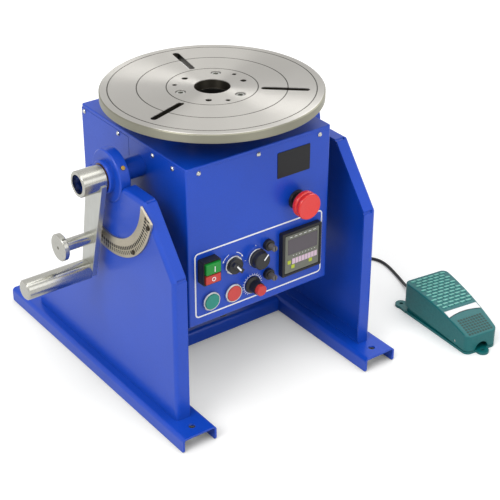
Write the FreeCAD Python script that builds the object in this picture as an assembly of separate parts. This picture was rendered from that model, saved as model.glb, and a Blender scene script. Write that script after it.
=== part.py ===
import FreeCAD, Part
import math
import os

# Welding positioner: a round table on a geared head that tilts between two side frames, with a
# control panel on the head and a foot pedal on a lead.
# Millimetres. X runs along the tilt axis (the lever is on the -X side), the panel faces -Y and Z is up.
# Heights below are measured from the floor. The frame's origin is the middle of the table's top face,
# so save() lowers every solid by TABLE_TOP.

V = FreeCAD.Vector

# ---------------------------------------------------------------- driving dimensions
# fits
RUNNING_FIT = 0.05          # radial gap of a shaft that turns or slides in its bore
SEAT_FIT = 0.2              # radial gap of a piece that is welded, pressed or screwed in place
BODY_GAP = 0.5              # gap between faces that pass each other

# table
TABLE_D = 320.0
TABLE_T = 14.0
TABLE_TOP = 435.0           # height of the table's top face above the floor
TABLE_BORE_D = 52.0
TABLE_RIM_CHAMFER = 2.0
GROOVE_RADII = (65.0, 107.0, 148.0)
GROOVE_W = 1.2
GROOVE_DEPTH = 0.6
SLOT_W = 10.0
SLOT_INNER_R = 69.0
SLOT_OUTER_R = 138.0
SLOT_FOOT_W = 17.0          # wide lower part of each T-slot
SLOT_THROAT = 7.0           # depth of the narrow upper part
PATTERN_ANGLE = 19.0        # where the table's hole pattern starts, from +X
TABLE_SCREW_PCD = 97.0
TABLE_SCREW_HEAD_D = 13.0
TABLE_SCREW_HEAD_H = 8.0
TABLE_SCREW_D = 8.0
COUNTERBORE_D = 15.0
COUNTERBORE_DEPTH = 9.0
CHUCK_HOLE_D = 9.0
TAPPED_HOLE_PCD = 107.0
TAPPED_HOLE_D = 7.0

# spindle and its bearings
SPINDLE_D = 60.0
SPINDLE_BORE_D = 50.0
SPINDLE_FLANGE_D = 124.0
SPINDLE_FLANGE_T = 12.0
SHOULDER_D = 70.0
BEARING_OD = 95.0
BEARING_W = 11.0
BEARING_RING_T = 6.0
BEARING_SPAN = 52.0         # from the upper bearing's lower face to the lower bearing's upper face
HOUSING_D = 114.0
HOUSING_FLANGE_D = 152.0
HOUSING_FLANGE_T = 8.0
HOUSING_SHOULDER_D = 86.0
HOUSING_SCREW_COUNT = 6
HOUSING_SCREW_D = 6.0
HOUSING_GAP = 4.0           # from the spindle flange down to the housing
NUT_D = 76.0
NUT_T = 8.0

# gears
GEAR_MODULE = 2.0
GEAR_TEETH = 60
PINION_TEETH = 16
GEAR_T = 12.0
GEAR_BACKLASH = 0.16
GEAR_HOLE_COUNT = 6
GEAR_HOLE_D = 14.0
GEAR_HOLE_R = 44.4
PRESSURE_ANGLE = 20.0
CENTRE_EXTRA = 0.1          # added to the standard centre distance
PINION_SHAFT_D = 12.0
PINION_SHAFT_DEPTH = 25.0   # shaft inside the gearbox

# head box
HEAD_W = 248.0
HEAD_FRONT = -115.0
HEAD_BACK = 157.0
HEAD_BOTTOM = 134.5
HEAD_TOP = 385.0
SHEET = 3.0
TOP_PLATE = 5.0
LIP = 16.0
HEAD_CORNER_R = 3.0
COVER_T = 1.5
COVER_SEAM = 0.6
COVER_REST = 10.0           # width of the ledge that a cover lies on
ACCESS_FRONT = 28.0         # front edge of the left access cover
ACCESS_BOTTOM = 150.0
REAR_COVER_MARGIN = 18.0
VENT_COUNT = 7
VENT_PITCH = 11.0
VENT_L = 90.0
VENT_W = 4.0
UNDERSIDE_SOCKET_AT = (-57.0, -100.0)
REAR_CONNECTORS = (((-45.0, 190.0), 16.0), ((45.0, 190.0), 20.0))
PAN_HEAD_D = 7.0
PAN_HEAD_H = 2.4
PAN_SHANK_D = 3.6

# drive
BRACKET_T = 5.0
BRACKET_HALF_W = 72.0
BRACKET_FRONT = -50.0
BRACKET_BACK = 132.0
BRACKET_GAP = 5.0           # from the spindle nut down to the bracket's plate
SPINDLE_TAIL = 10.0         # spindle below the bracket's plate
MOTOR_D = 60.0
MOTOR_L = 78.0
MOTOR_GAP = 3.0             # from the bracket down to the motor
GEARBOX_W = 64.0
GEARBOX_DEPTH = 56.0
GEARBOX_FLANGE_D = 48.0
GEARBOX_FLANGE_T = 4.0

# speed controller, from the head's floor up
BOARD_X = (-70.0, 50.0)
BOARD_Y = (-30.0, 60.0)
BOARD_T = 2.0
PILLAR_D = 7.0
PILLAR_H = 8.0
PILLAR_INSET = 6.0
TRANSFORMER = (40.0, 36.0, 32.0)
TRANSFORMER_AT = (-58.0, -10.0)
FIN_COUNT = 5
FIN_PITCH = 8.0
FIN_T = 3.0
FIN_L = 50.0
FIN_H = 24.0
SINK_AT = (-6.0, 0.0)
CAN_D = 14.0
CAN_H = 22.0
CANS_AT = ((0.0, -15.0), (18.0, -15.0))

# tilt axis
AXIS_Z = 347.0
TRUNNION_D = 30.0
TRUNNION_BORE_D = 20.0
TRUNNION_FLANGE_D = 64.0
TRUNNION_FLANGE_T = 6.0
TRUNNION_END = 207.0
HOUSING_RING_D = 76.0
HOUSING_RING_T = 17.0
HOUSING_BOSS_D = 47.0
HOUSING_BOSS_T = 7.5
RIGHT_RING_D = 54.0         # the right housing is a plain ring, flush with its frame
RETAINER_T = 4.0
BUSH_OD = 40.0
BUSH_FLANGE_D = 48.0
BUSH_FLANGE_T = 2.0
SET_SCREW_D = 6.0
SET_SCREW_TILT = 35.0       # above the horizontal, towards the front
COLLAR_D = 38.0
COLLAR_BORE_D = 28.0
COLLAR_END = 225.0

# lever, grip and index pin
LEVER_ANGLE = 12.7          # the lever leans this far to the rear of straight down
LEVER_OUTER = 198.5
LEVER_T = 8.0
LEVER_TOP_W = 42.0
LEVER_END_W = 27.0
LEVER_R = 170.0
GRIP_R = 163.0
GRIP_D = 30.0
GRIP_END = 301.0
GRIP_SPIGOT_D = 12.0
INDEX_R = 104.0
INDEX_PITCH = 3.0
TILT_RANGE = 90.0
INDEX_HOLE_D = 3.4
END_HOLE_D = 6.5
INDEX_T = 3.0
INDEX_INNER_R = 90.0
INDEX_OUTER_R = 117.5
INDEX_TAIL = 11.0           # plate beyond the first index hole, degrees
INDEX_NOSE = 7.0            # plate beyond the last index hole, degrees
INDEX_SCREW_ANGLES = (-19.0, 36.0, 72.0)
INDEX_SCREW_R = 112.0
BARREL_D = 18.0
BARREL_END = 241.0
BARREL_NOSE_D = 12.0
BARREL_NUT_T = 4.0
CHAMBER_D = 12.2
PIN_SHANK_D = 7.0
PIN_COLLAR_D = 11.6
PIN_TIP_D = 2.8
PIN_TRAVEL = 10.0
KNOB_D = 40.0
KNOB_T = 8.0

# base
FOOT_OUT = 195.0
FOOT_W = 57.0
FOOT_H = 23.0
FOOT_FRONT = -200.0
FOOT_BACK = 300.0
FOOT_T = 3.0
FOOT_BEND = 6.0
ANCHOR_D = 10.0
ANCHOR_INSET = 20.0
CROSS_FRONT = 17.0
CROSS_W = 80.0
FRAME_OUT = 178.0
FRAME_DEPTH = 22.0
FRAME_T = 3.0
FRAME_BEND = 6.0
FRAME_TOP = 342.0
FRAME_FRONT = -160.0
FRAME_KNEE_Z = 250.0
FRAME_TOP_FRONT = -90.0
FRAME_TOP_BACK = 53.0
FRAME_WAIST = (62.0, 180.0)
FRAME_HEEL = (238.0, 33.0)
RELIEF_R = 2.5

# control panel, positions as (x, z) on the head's front face
CONTROL_HOLE_D = 22.4
CONTROL_BEZEL_D = 29.5
CONTROL_BEZEL_T = 4.5
CONTROL_RECESS = 0.5        # floor of the bezel's recess above the panel
CONTROL_STEM_L = 18.0       # stem behind the panel's face
CONTROL_NECK_L = 14.0       # neck behind the panel's face
CONTROL_NUT_D = 28.0
CONTROL_NUT_T = 4.0
CONTROL_BLOCK = 28.0
CONTROL_BLOCK_GAP = 5.0     # from the panel's back to the contact block
CONTROL_BLOCK_L = 34.0
START_AT = (-87.0, 169.0)
STOP_AT = (-48.4, 168.5)
DIRECTION_AT = (-48.0, 215.0)
MODE_AT = (-7.5, 213.0)
SPEED_AT = (-13.6, 169.6)
ESTOP_AT = (65.0, 284.0)
FUSES_AT = ((13.5, 227.0), (14.0, 178.5))
COUNTER_AT = (70.5, 202.0)
POWER_AT = (-93.0, 224.0)
BUTTON_D = 24.0
BUTTON_PROUD = 1.0
BUTTON_TRAVEL = 3.0
BUTTON_EDGE = 0.8           # chamfer round the cap
STEM_D = 12.0
STEM_ROOM = 8.0             # bore beyond a stem's end
KNOB_BAR_W = 7.0
DIRECTION_KNOB_D = 24.0
MODE_KNOB_D = 29.0
DIRECTION_KNOB_L = 11.5
MODE_KNOB_L = 13.5
MODE_FLUTES = 10
MODE_FLUTE_D = 5.0
DIRECTION_ANGLE = -45.0
SPEED_SKIRT_D = 26.0
SPEED_BODY_D = 19.0
SPEED_KNOB_L = 17.0
SPEED_CAP_D = 16.5
SPEED_CAP_L = 7.0
ESTOP_D = 40.0
ESTOP_FACE = 31.0
ESTOP_HEAD_L = 17.0
ESTOP_JOURNAL_D = 8.0
ESTOP_CROWN = 6.0           # from the mushroom's face to the journal's end
ESTOP_TRAVEL = 6.0
FUSE_D = 12.0
FUSE_FLANGE_D = 17.0
FUSE_FLANGE_T = 7.0
FUSE_CAP_D = 9.0
FUSE_CAP_L = 12.0
COUNTER_SIZE = 72.0
COUNTER_BEZEL = 9.0
COUNTER_BODY = 67.0
COUNTER_DEPTH = 62.0
POWER_W = 30.0
POWER_H = 37.0
POWER_PROUD = 14.0
POWER_SPLIT = 0.55          # share of the switch's height that the I button takes
POWER_WALL = 2.0
POWER_TRAVEL = 3.0

# foot pedal, in its own axes: x across from its rear left corner, y to the rear, then turned and set in place
PEDAL_W = 82.0
PEDAL_FRONT_W = 58.0
PEDAL_L = 156.0
PEDAL_CORNER_R = 10.0
PEDAL_AT = (300.0, -102.0)
PEDAL_TURN = -7.0
PEDAL_REAR_H = 55.0
PEDAL_MID_H = 50.0
PEDAL_FRONT_H = 31.0
PEDAL_SKIRT_REAR = 14.0
PEDAL_SKIRT_FRONT = 5.0
PEDAL_HINGE = (-127.5, 12.0)
PEDAL_WALL = 3.0
PEDAL_RANGE = 4.0
PEDAL_FLANGE_T = 4.0
PEDAL_GAP = 0.8             # between the tread's skirt and the base's upstand
PEDAL_PIN_D = 4.0
LUG_R = 10.0
LUG_HOLE_D = 6.0
SWITCH_TOP = 24.0
SWITCH_CLEARANCE = 6.6      # from the switch's plunger up to the tread's boss
SWITCH_Y = -41.0
SPRING_Y = -66.0
SPRING_D = 12.0
SPRING_BOTTOM = 8.0
SPRING_TOP = 38.0
SPRING_WIRE_D = 1.8

# lead
LEAD_D = 5.0
GLAND_Y = 86.0
GLAND_Z = 50.0
GLAND_D = 14.0
GLAND_L = 14.0
PEDAL_GLAND_Z = 12.0
PEDAL_GLAND_L = 14.0
COIL_AT = (289.0, 118.5)
COIL_TURNS_ACROSS = 3
COIL_LAYERS = 3
COIL_MEAN_R = 27.5
COIL_EXIT_ANGLE = -110.0
COIL_ENTRY_ANGLE = -90.0
LEAD_INNER = [(212, 86, 49.5), (226, 86, 45), (239, 86, 35), (252, 86, 23), (266, 86, 14.5), (279, 86, 12.5)]
LEAD_OUTER = [(290, 84.2, 2.5), (327, 71.5, 2.5), (348, 65.5, 2.5), (366, 54, 2.5), (374.5, 37, 2.5),
              (373.5, 16, 2.5), (368, -6, 2.5), (361, -30, 2.5), (353, -50, 4.5), (346.5, -65, 9),
              (344, -79, 12)]

# ---------------------------------------------------------------- worked out from them
TABLE_UNDER = TABLE_TOP - TABLE_T
FLANGE_UNDER = TABLE_UNDER - SPINDLE_FLANGE_T
HOUSING_TOP = FLANGE_UNDER - HOUSING_GAP
UPPER_BEARING = HOUSING_TOP - 15.0
LOWER_BEARING = UPPER_BEARING - BEARING_SPAN - BEARING_W
HOUSING_BOTTOM = LOWER_BEARING - 4.0
GEAR_TOP = HOUSING_BOTTOM - 5.0
GEAR_BOTTOM = GEAR_TOP - GEAR_T
CENTRE_DISTANCE = GEAR_MODULE * (GEAR_TEETH + PINION_TEETH) / 2.0 + CENTRE_EXTRA
BRACKET_TOP = GEAR_BOTTOM - NUT_T - BRACKET_GAP
PLATE_UNDER = BRACKET_TOP - BRACKET_T
SPINDLE_BOTTOM = PLATE_UNDER - SPINDLE_TAIL
GEARBOX_H = MOTOR_D + 2 * MOTOR_GAP
DRIVE_Z = PLATE_UNDER - GEARBOX_H / 2.0
HEAD_X = HEAD_W / 2.0
INNER_X = HEAD_X - SHEET
FOOT_IN = FOOT_OUT - FOOT_W
FOOT_MID = FOOT_OUT - FOOT_W / 2.0
FRAME_IN = FRAME_OUT - FRAME_DEPTH
RING_OUT = FRAME_OUT + 1.5
RING_IN = RING_OUT - HOUSING_RING_T
BOSS_OUT = RING_OUT + HOUSING_BOSS_T
RIGHT_RING_OUT = FRAME_OUT
RIGHT_RING_IN = RIGHT_RING_OUT - HOUSING_RING_T
RIGHT_END = RIGHT_RING_OUT + BODY_GAP + RETAINER_T
LEVER_INNER = LEVER_OUTER - LEVER_T
PANEL = HEAD_FRONT
PANEL_BACK = PANEL + SHEET
TOP_UNDER = HEAD_TOP - TOP_PLATE
FRAME_BOTTOM_BACK = (FRAME_HEEL[0], FOOT_H)
CHAMBER_START = LEVER_OUTER + 4.0
PEDAL_REAR_TRAVEL = -PEDAL_HINGE[0] * math.tan(math.radians(PEDAL_RANGE))
X_AXIS, Y_AXIS, Z_AXIS = V(1, 0, 0), V(0, 1, 0), V(0, 0, 1)
TILT_POINT = V(0, 0, AXIS_Z)


# ---------------------------------------------------------------- helpers
def save(node, *shapes):
    """Write one node, lowered so that the origin is the middle of the table's top face."""
    solids = [piece for shape in shapes for piece in shape.Solids]
    group = solids[0].copy() if len(solids) == 1 else Part.makeCompound(solids)
    group.translate(V(0, 0, -TABLE_TOP))
    if not group.isValid():
        print("not valid:", node)
    group.exportStep("parts/" + node + ".step")
    print("%-24s %2d solid(s) %12.1f mm3" % (node, len(solids), group.Volume))


def box(x, y, z):
    """A block from three (low, high) pairs."""
    return Part.makeBox(x[1] - x[0], y[1] - y[0], z[1] - z[0], V(x[0], y[0], z[0]))


def rod(start, direction, diameter, length):
    """A cylinder from a start point along a direction."""
    return Part.makeCylinder(diameter / 2.0, length, V(*start), V(*direction))


def turned(profile, base, axis):
    """A solid of revolution: profile is a closed list of (radius, distance along the axis)."""
    wire = Part.makePolygon([V(r, 0, h) for r, h in profile] + [V(profile[0][0], 0, profile[0][1])])
    solid = Part.Face(wire).revolve(V(0, 0, 0), Z_AXIS, 360)
    solid.Placement = FreeCAD.Placement(V(*base), FreeCAD.Rotation(Z_AXIS, V(*axis)))
    return solid


def prism(points, normal_axis, low, high):
    """Extrude a closed outline given in the plane across an axis: 'x' takes (y, z), 'y' takes (x, z)."""
    if normal_axis == "x":
        corners, run = [V(low, a, b) for a, b in points], V(high - low, 0, 0)
    elif normal_axis == "y":
        corners, run = [V(a, low, b) for a, b in points], V(0, high - low, 0)
    else:
        corners, run = [V(a, b, low) for a, b in points], V(0, 0, high - low)
    return Part.Face(Part.makePolygon(corners + corners[:1])).extrude(run)


def fused(shapes):
    """Join shapes into one solid without leftover seams."""
    first = shapes[0]
    return first.multiFuse(shapes[1:]).removeSplitter()


def mirrored(shape):
    """The same piece on the other side of the object."""
    return shape.mirror(V(0, 0, 0), X_AXIS)


def polar(radius, degrees, z=0.0):
    return V(radius * math.cos(math.radians(degrees)), radius * math.sin(math.radians(degrees)), z)


def edges_where(shape, test):
    """Edges whose middle passes a test."""
    return [edge for edge in shape.Edges if test(edge.CenterOfMass, edge)]


def along(edge, axis):
    """Whether a straight edge runs along an axis."""
    return edge.Curve.TypeId == "Part::GeomLine" and abs(abs(edge.Curve.Direction.dot(axis)) - 1) < 1e-6


def inset(points, distance):
    """Move every side of a closed outline inwards; the outline runs anticlockwise."""
    count = len(points)
    lines = []
    for i in range(count):
        (ax, ay), (bx, by) = points[i], points[(i + 1) % count]
        length = math.hypot(bx - ax, by - ay)
        nx, ny = -(by - ay) / length, (bx - ax) / length
        lines.append((ax + nx * distance, ay + ny * distance, bx - ax, by - ay))
    corners = []
    for i in range(count):
        px, py, ux, uy = lines[i - 1]
        qx, qy, vx, vy = lines[i]
        t = ((qx - px) * vy - (qy - py) * vx) / (ux * vy - uy * vx)
        corners.append((px + ux * t, py + uy * t))
    return corners


def socket_screw(top, axis, head_d, head_h, shank_d, length):
    """A socket-head screw whose head's top is at a point; the axis points out of the head."""
    down = -V(*axis)
    start = V(*top)
    head = Part.makeCylinder(head_d / 2.0, head_h, start, down)
    shank = Part.makeCylinder(shank_d / 2.0, length, start + down * head_h, down)
    flats = [polar(head_d * 0.3, 60 * i) for i in range(6)]
    socket = Part.Face(Part.makePolygon(flats + flats[:1])).extrude(V(0, 0, head_h * 0.55))
    socket.Placement = FreeCAD.Placement(start, FreeCAD.Rotation(Z_AXIS, down))
    return head.fuse(shank).cut(socket)


def pan_screw(seat, axis, length=7.0):
    """A pan-head screw whose head sits on a face at a point; the axis points out of the face."""
    r, h, shank = PAN_HEAD_D / 2.0, PAN_HEAD_H, PAN_SHANK_D / 2.0
    profile = [(0, -length), (shank, -length), (shank, 0), (r, 0), (r, h * 0.4), (r * 0.6, h), (0, h)]
    return turned(profile, seat, axis)


# ---------------------------------------------------------------- base
def channel(width, height, wall, bend, start, end):
    """A bent U channel, open downward, along Y and centred on x = 0."""
    half = width / 2.0
    outer = box((-half, half), (start, end), (0, height))
    outer = outer.makeFillet(bend, edges_where(outer, lambda c, e: along(e, Y_AXIS) and c.z > height - 0.1))
    inner = box((-half + wall, half - wall), (start, end), (0, height - wall))
    inner = inner.makeFillet(bend - wall,
                             edges_where(inner, lambda c, e: along(e, Y_AXIS) and c.z > height - wall - 0.1))
    return outer.cut(inner)


def foot():
    """The right foot, with its two anchor holes and the flange corners rounded."""
    body = channel(FOOT_W, FOOT_H, FOOT_T, FOOT_BEND, FOOT_FRONT, FOOT_BACK)
    body.translate(V(FOOT_MID, 0, 0))
    for y in (FOOT_FRONT + ANCHOR_INSET, FOOT_BACK - ANCHOR_INSET):
        body = body.cut(rod((FOOT_MID, y, 0), Z_AXIS, ANCHOR_D, FOOT_H))
    corners = edges_where(body, lambda c, e: along(e, X_AXIS) and abs(c.z) < 0.1 and e.Length < FOOT_T + 0.1)
    return body.makeFillet(3.0, corners)


def cross_member():
    body = channel(CROSS_W, FOOT_H, FOOT_T, FOOT_BEND, -FOOT_IN, FOOT_IN)
    body.rotate(V(0, 0, 0), Z_AXIS, 90)
    body.translate(V(0, CROSS_FRONT + CROSS_W / 2.0, 0))
    return body


def frame_outline():
    return [(FRAME_FRONT, FOOT_H), FRAME_BOTTOM_BACK, FRAME_HEEL, FRAME_WAIST, (FRAME_TOP_BACK, FRAME_TOP),
            (FRAME_TOP_FRONT, FRAME_TOP), (FRAME_FRONT, FRAME_KNEE_Z)]


def side_frame(ring_d):
    """A side frame on the right: a pan with its flanges folded towards the head and a saddle for its ring."""
    outline = frame_outline()
    outer = prism(outline, "x", FRAME_IN, FRAME_OUT)
    bends = edges_where(outer, lambda c, e: c.x > FRAME_OUT - 0.1 and c.z > FOOT_H + 0.1)
    outer = outer.makeFillet(FRAME_BEND, bends)
    inner = prism(inset(outline, FRAME_T), "x", FRAME_IN - 1, FRAME_OUT - FRAME_T)
    bends = edges_where(inner, lambda c, e: c.x > FRAME_OUT - FRAME_T - 0.1 and c.z > FOOT_H + FRAME_T + 0.1)
    inner = inner.makeFillet(FRAME_BEND - FRAME_T, bends)
    body = outer.cut(inner)
    corners = [p for p in outline if p[1] > FOOT_H + 0.1 and p != FRAME_HEEL]
    reliefs = [rod((FRAME_IN - 1, y, z), X_AXIS, 2 * RELIEF_R, FRAME_DEPTH - FRAME_BEND) for y, z in corners]
    saddle = rod((FRAME_IN - 1, 0, AXIS_Z), X_AXIS, ring_d + 2 * SEAT_FIT, FRAME_DEPTH + 2)
    return body.cut(Part.makeCompound(reliefs + [saddle]))


def left_bearing_housing():
    """A ring in the frame's saddle and a smaller boss on its outer side."""
    ring, boss, bore = HOUSING_RING_D / 2.0, HOUSING_BOSS_D / 2.0, BUSH_OD / 2.0 + SEAT_FIT / 4.0
    profile = [(bore, RING_IN), (ring - 1, RING_IN), (ring, RING_IN + 1), (ring, RING_OUT - 1.5),
               (ring - 1.5, RING_OUT), (boss, RING_OUT), (boss, BOSS_OUT - 1), (boss - 1, BOSS_OUT),
               (bore, BOSS_OUT)]
    body = turned(profile, TILT_POINT, -X_AXIS)
    return body.cut(set_screw_rod(-(RING_IN + RING_OUT) / 2.0, HOUSING_RING_D, SET_SCREW_D + SEAT_FIT, 0))


def right_bearing_housing():
    """A plain ring in the frame's saddle."""
    ring, bore, low, high = RIGHT_RING_D / 2.0, BUSH_OD / 2.0 + SEAT_FIT / 4.0, RIGHT_RING_IN, RIGHT_RING_OUT
    body = turned([(bore, low), (ring - 1, low), (ring, low + 1), (ring, high - 1), (ring - 1, high), (bore, high)],
                  TILT_POINT, X_AXIS)
    return body.cut(set_screw_rod((low + high) / 2.0, RIGHT_RING_D, SET_SCREW_D + SEAT_FIT, 0))


def set_screw_rod(x, ring_d, diameter, inner_gap):
    """A set screw's space: radial, towards the front and up, in the middle of its ring."""
    direction = V(0, -math.cos(math.radians(SET_SCREW_TILT)), math.sin(math.radians(SET_SCREW_TILT)))
    inner = BUSH_OD / 2.0 + inner_gap
    start = V(x, 0, AXIS_Z) + direction * inner
    return Part.makeCylinder(diameter / 2.0, ring_d / 2.0 + 2.0 - inner, start, direction)


def bush(inner_face, outer_face, direction):
    """A bush that is flanged towards the head."""
    bore = TRUNNION_D / 2.0 + RUNNING_FIT
    outer, flange = BUSH_OD / 2.0, BUSH_FLANGE_D / 2.0
    start = inner_face - BUSH_FLANGE_T
    profile = [(bore, start), (flange, start), (flange, inner_face), (outer, inner_face), (outer, outer_face),
               (bore, outer_face)]
    return turned(profile, TILT_POINT, direction)


def lever_direction(degrees):
    """Unit vector in the tilt plane, measured from straight down towards the front."""
    angle = math.radians(degrees)
    return V(0, -math.sin(angle), -math.cos(angle))


def index_plate():
    """Crescent with an index hole every few degrees of tilt and wider mouths at both ends."""
    first = -LEVER_ANGLE
    last = first + TILT_RANGE
    start, stop = first - INDEX_TAIL, last + INDEX_NOSE

    def arc(radius, a, b):
        ends = [TILT_POINT + lever_direction(d) * radius for d in (a, (a + b) / 2.0, b)]
        return Part.Arc(*ends).toShape()

    outer = arc(INDEX_OUTER_R, start, stop - INDEX_NOSE)
    inner = arc(INDEX_INNER_R, stop, start)
    nose = Part.makeLine(outer.Vertexes[-1].Point, inner.Vertexes[0].Point)
    tail = Part.makeLine(inner.Vertexes[-1].Point, outer.Vertexes[0].Point)
    body = Part.Face(Part.Wire([outer, nose, inner, tail])).extrude(V(-INDEX_T, 0, 0))
    body.translate(V(-FRAME_OUT, 0, 0))
    count = int(round(TILT_RANGE / INDEX_PITCH))
    holes = []
    for i in range(count + 1):
        at = TILT_POINT + lever_direction(first + i * INDEX_PITCH) * INDEX_R
        holes.append(rod(at + V(-FRAME_OUT - INDEX_T - 1, 0, 0), X_AXIS, INDEX_HOLE_D, INDEX_T + 1))
    for degrees in (first, last):
        at = TILT_POINT + lever_direction(degrees) * INDEX_R
        holes.append(rod(at + V(-FRAME_OUT - INDEX_T - 1, 0, 0), X_AXIS, END_HOLE_D, 2.2))
    for degrees in INDEX_SCREW_ANGLES:
        at = TILT_POINT + lever_direction(degrees) * INDEX_SCREW_R
        holes.append(rod(at + V(-FRAME_OUT - INDEX_T - 1, 0, 0), X_AXIS, PAN_SHANK_D + 2 * SEAT_FIT,
                         INDEX_T + 2))
    return body.cut(Part.makeCompound(holes))


def frame_screws():
    """Set screws of both housings and the screws of the index plate."""
    screws = [set_screw_rod((RIGHT_RING_IN + RIGHT_RING_OUT) / 2.0, RIGHT_RING_D, SET_SCREW_D, SEAT_FIT),
              set_screw_rod(-(RING_IN + RING_OUT) / 2.0, HOUSING_RING_D, SET_SCREW_D, SEAT_FIT)]
    for degrees in INDEX_SCREW_ANGLES:
        seat = TILT_POINT + lever_direction(degrees) * INDEX_SCREW_R + V(-FRAME_OUT - INDEX_T, 0, 0)
        screws.append(pan_screw(seat, -X_AXIS, INDEX_T + 2))
    return screws


def make_base():
    right = foot()
    save("feet", right, mirrored(right))
    save("cross_member", cross_member())
    left = mirrored(side_frame(HOUSING_RING_D))
    tapped = []
    for degrees in INDEX_SCREW_ANGLES:
        at = TILT_POINT + lever_direction(degrees) * INDEX_SCREW_R
        tapped.append(rod(at + V(-FRAME_OUT - 1, 0, 0), X_AXIS, PAN_SHANK_D + 2 * SEAT_FIT, FRAME_T + 2))
    save("left_side_frame", left.cut(Part.makeCompound(tapped)))
    gland_hole = rod((FRAME_OUT - FRAME_T - 1, GLAND_Y, GLAND_Z), X_AXIS, GLAND_D * 0.7 + 2 * SEAT_FIT,
                     FRAME_T + 2)
    save("right_side_frame", side_frame(RIGHT_RING_D).cut(gland_hole))
    save("bearing_housings", right_bearing_housing(), left_bearing_housing())
    save("bearing_bushes", bush(RIGHT_RING_IN, RIGHT_RING_OUT, X_AXIS), bush(RING_IN, BOSS_OUT, -X_AXIS))
    save("index_plate", index_plate())
    save("frame_screws", *frame_screws())


# ---------------------------------------------------------------- table and spindle
def slot(width, low, high, angle):
    """A radial slot with round ends."""
    straight = box((SLOT_INNER_R + SLOT_W / 2.0, SLOT_OUTER_R - SLOT_W / 2.0), (-width / 2.0, width / 2.0),
                   (low, high))
    ends = [rod((r, 0, low), Z_AXIS, width, high - low)
            for r in (SLOT_INNER_R + SLOT_W / 2.0, SLOT_OUTER_R - SLOT_W / 2.0)]
    shape = straight.fuse(ends)
    shape.rotate(V(0, 0, 0), Z_AXIS, angle)
    return shape


def thirds(start):
    return [PATTERN_ANGLE + start + 120 * i for i in range(3)]


def table():
    r, bore = TABLE_D / 2.0, TABLE_BORE_D / 2.0
    c = TABLE_RIM_CHAMFER
    profile = [(bore, TABLE_UNDER), (r - 1, TABLE_UNDER), (r, TABLE_UNDER + 1), (r, TABLE_TOP - c),
               (r - c, TABLE_TOP)]
    for groove in reversed(GROOVE_RADII):
        half = GROOVE_W / 2.0
        profile += [(groove + half, TABLE_TOP), (groove, TABLE_TOP - GROOVE_DEPTH), (groove - half, TABLE_TOP)]
    profile.append((bore, TABLE_TOP))
    body = turned(profile, V(0, 0, 0), Z_AXIS)
    throat = TABLE_TOP - SLOT_THROAT
    cuts = []
    for angle in thirds(60):
        cuts.append(slot(SLOT_W, TABLE_UNDER - 1, TABLE_TOP + 1, angle))
        cuts.append(slot(SLOT_FOOT_W, TABLE_UNDER - 1, throat, angle))
    for angle in thirds(30):
        at = polar(TABLE_SCREW_PCD / 2.0, angle)
        cuts.append(rod((at.x, at.y, TABLE_UNDER - 1), Z_AXIS, TABLE_SCREW_D + 2 * SEAT_FIT, TABLE_T + 2))
        cuts.append(rod((at.x, at.y, TABLE_TOP - COUNTERBORE_DEPTH), Z_AXIS, COUNTERBORE_D,
                        COUNTERBORE_DEPTH + 1))
    for angle in thirds(90):
        at = polar(TABLE_SCREW_PCD / 2.0, angle)
        cuts.append(rod((at.x, at.y, TABLE_UNDER - 1), Z_AXIS, CHUCK_HOLE_D, TABLE_T + 2))
    for angle in thirds(0):
        at = polar(TAPPED_HOLE_PCD / 2.0, angle)
        cuts.append(rod((at.x, at.y, TABLE_UNDER - 1), Z_AXIS, TAPPED_HOLE_D, TABLE_T + 2))
    return body.cut(Part.makeCompound(cuts))


def spindle():
    tube, bore = SPINDLE_D / 2.0, SPINDLE_BORE_D / 2.0
    flange, shoulder = SPINDLE_FLANGE_D / 2.0, SHOULDER_D / 2.0
    profile = [(bore, SPINDLE_BOTTOM), (tube, SPINDLE_BOTTOM), (tube, UPPER_BEARING + BEARING_W),
               (shoulder, UPPER_BEARING + BEARING_W),
               (shoulder, FLANGE_UNDER), (flange, FLANGE_UNDER), (flange, TABLE_UNDER), (bore, TABLE_UNDER)]
    body = turned(profile, V(0, 0, 0), Z_AXIS)
    holes = []
    for angle in thirds(30):
        at = polar(TABLE_SCREW_PCD / 2.0, angle)
        holes.append(rod((at.x, at.y, FLANGE_UNDER - 1), Z_AXIS, TABLE_SCREW_D + 2 * SEAT_FIT,
                         SPINDLE_FLANGE_T + 2))
    return body.cut(Part.makeCompound(holes))


def bearing_rings(inner_r, outer_r):
    """One ring of each of the two bearings."""
    rings = []
    for z in (UPPER_BEARING, LOWER_BEARING):
        profile = [(inner_r, z), (outer_r, z), (outer_r, z + BEARING_W), (inner_r, z + BEARING_W)]
        rings.append(turned(profile, V(0, 0, 0), Z_AXIS))
    return rings


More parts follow.
